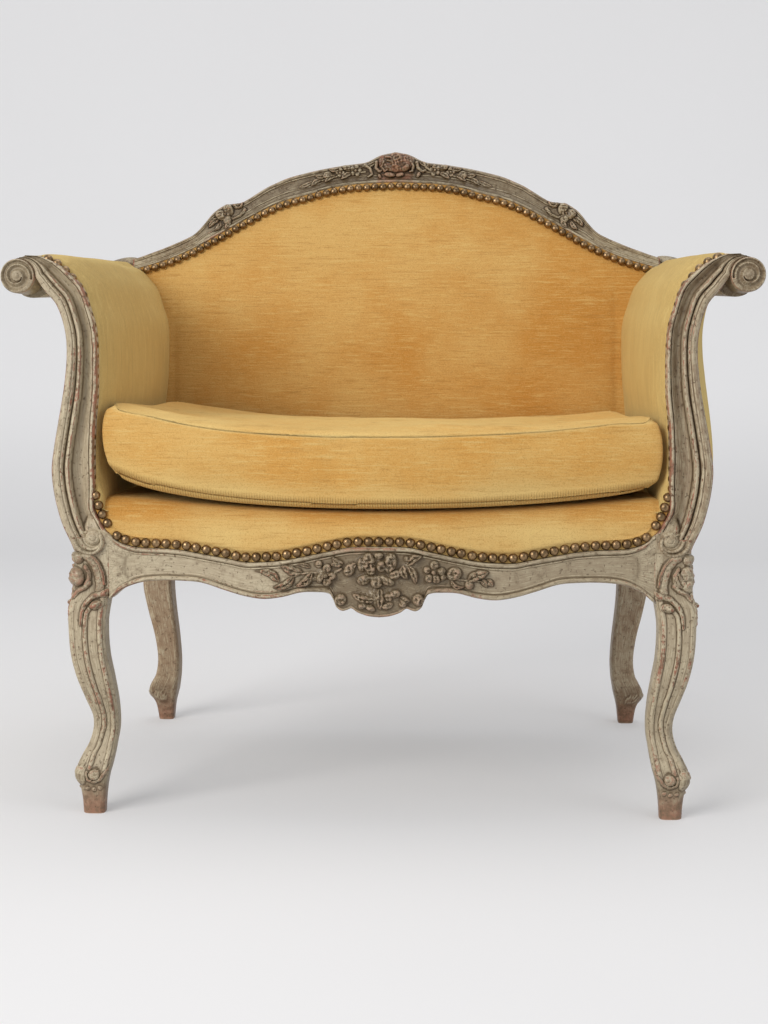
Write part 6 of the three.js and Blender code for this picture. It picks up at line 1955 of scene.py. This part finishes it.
class BERGERE_OT_pads(bpy.types.Operator):
    """Stuff the back, the arms and the seat deck"""

    bl_idname = "bergere.pads"
    bl_label = "Stuffed pads"

    def execute(self, context):
        back_pad()
        for side, name in SIDES:
            arm_pad(side, name)
        seat_deck()
        return {"FINISHED"}


class BERGERE_OT_covers(bpy.types.Operator):
    """Stretch the outside covers, the webbing and the hessian"""

    bl_idname = "bergere.covers"
    bl_label = "Covers and webbing"

    def execute(self, context):
        outside_covers()
        seat_support()
        return {"FINISHED"}


class BERGERE_OT_cushion(bpy.types.Operator):
    """Sew and fill the loose cushion"""

    bl_idname = "bergere.cushion"
    bl_label = "Cushion"

    def execute(self, context):
        cushion(context.scene.bergere_sizes)
        return {"FINISHED"}


class BERGERE_OT_nails(bpy.types.Operator):
    """Drive the rows of domed nails along the front rail, the crest and the arms"""

    bl_idname = "bergere.nails"
    bl_label = "Nails"

    def execute(self, context):
        seat_nails(context.scene.bergere_sizes)
        crest_nails(context.scene.bergere_sizes)
        for side, name in SIDES:
            arm_nails(side, name, context.scene.bergere_sizes)
        return {"FINISHED"}


class BERGERE_OT_hidden(bpy.types.Operator):
    """Give the blocks, dowels and inner rails their bare wood, and the pegs their paint"""

    bl_idname = "bergere.hidden"
    bl_label = "Hidden wood"

    def execute(self, context):
        dress_hidden()
        return {"FINISHED"}


STEPS = (
    BERGERE_OT_stage, BERGERE_OT_legs, BERGERE_OT_rails, BERGERE_OT_arms, BERGERE_OT_pads, BERGERE_OT_covers,
    BERGERE_OT_cushion, BERGERE_OT_nails, BERGERE_OT_hidden,
)


class BERGERE_PT_panel(bpy.types.Panel):
    """Lists the chair's pieces, colours and sizes"""

    bl_idname = "BERGERE_PT_panel"
    bl_label = "Bergere chair"
    bl_space_type = "VIEW_3D"
    bl_region_type = "UI"
    bl_category = "Bergere"

    def draw(self, context):
        for step in STEPS:
            self.layout.operator(step.bl_idname)
        for group in (context.scene.bergere_sizes, context.scene.bergere_colours):
            for key in group.__annotations__:
                self.layout.prop(group, key)


CLASSES = (BergereColours, BergereSizes, *STEPS, BERGERE_PT_panel)


def register():
    for one in CLASSES:
        bpy.utils.register_class(one)
    bpy.types.Scene.bergere_colours = PointerProperty(type=BergereColours)
    bpy.types.Scene.bergere_sizes = PointerProperty(type=BergereSizes)


def unregister():
    del bpy.types.Scene.bergere_sizes
    del bpy.types.Scene.bergere_colours
    for one in reversed(CLASSES):
        bpy.utils.unregister_class(one)


def main():
    register()
    bpy.ops.bergere.stage()
    bpy.ops.bergere.legs()
    bpy.ops.bergere.rails()
    bpy.ops.bergere.arms()
    bpy.ops.bergere.pads()
    bpy.ops.bergere.covers()
    bpy.ops.bergere.cushion()
    bpy.ops.bergere.nails()
    bpy.ops.bergere.hidden()


if __name__ == "__main__":
    main()
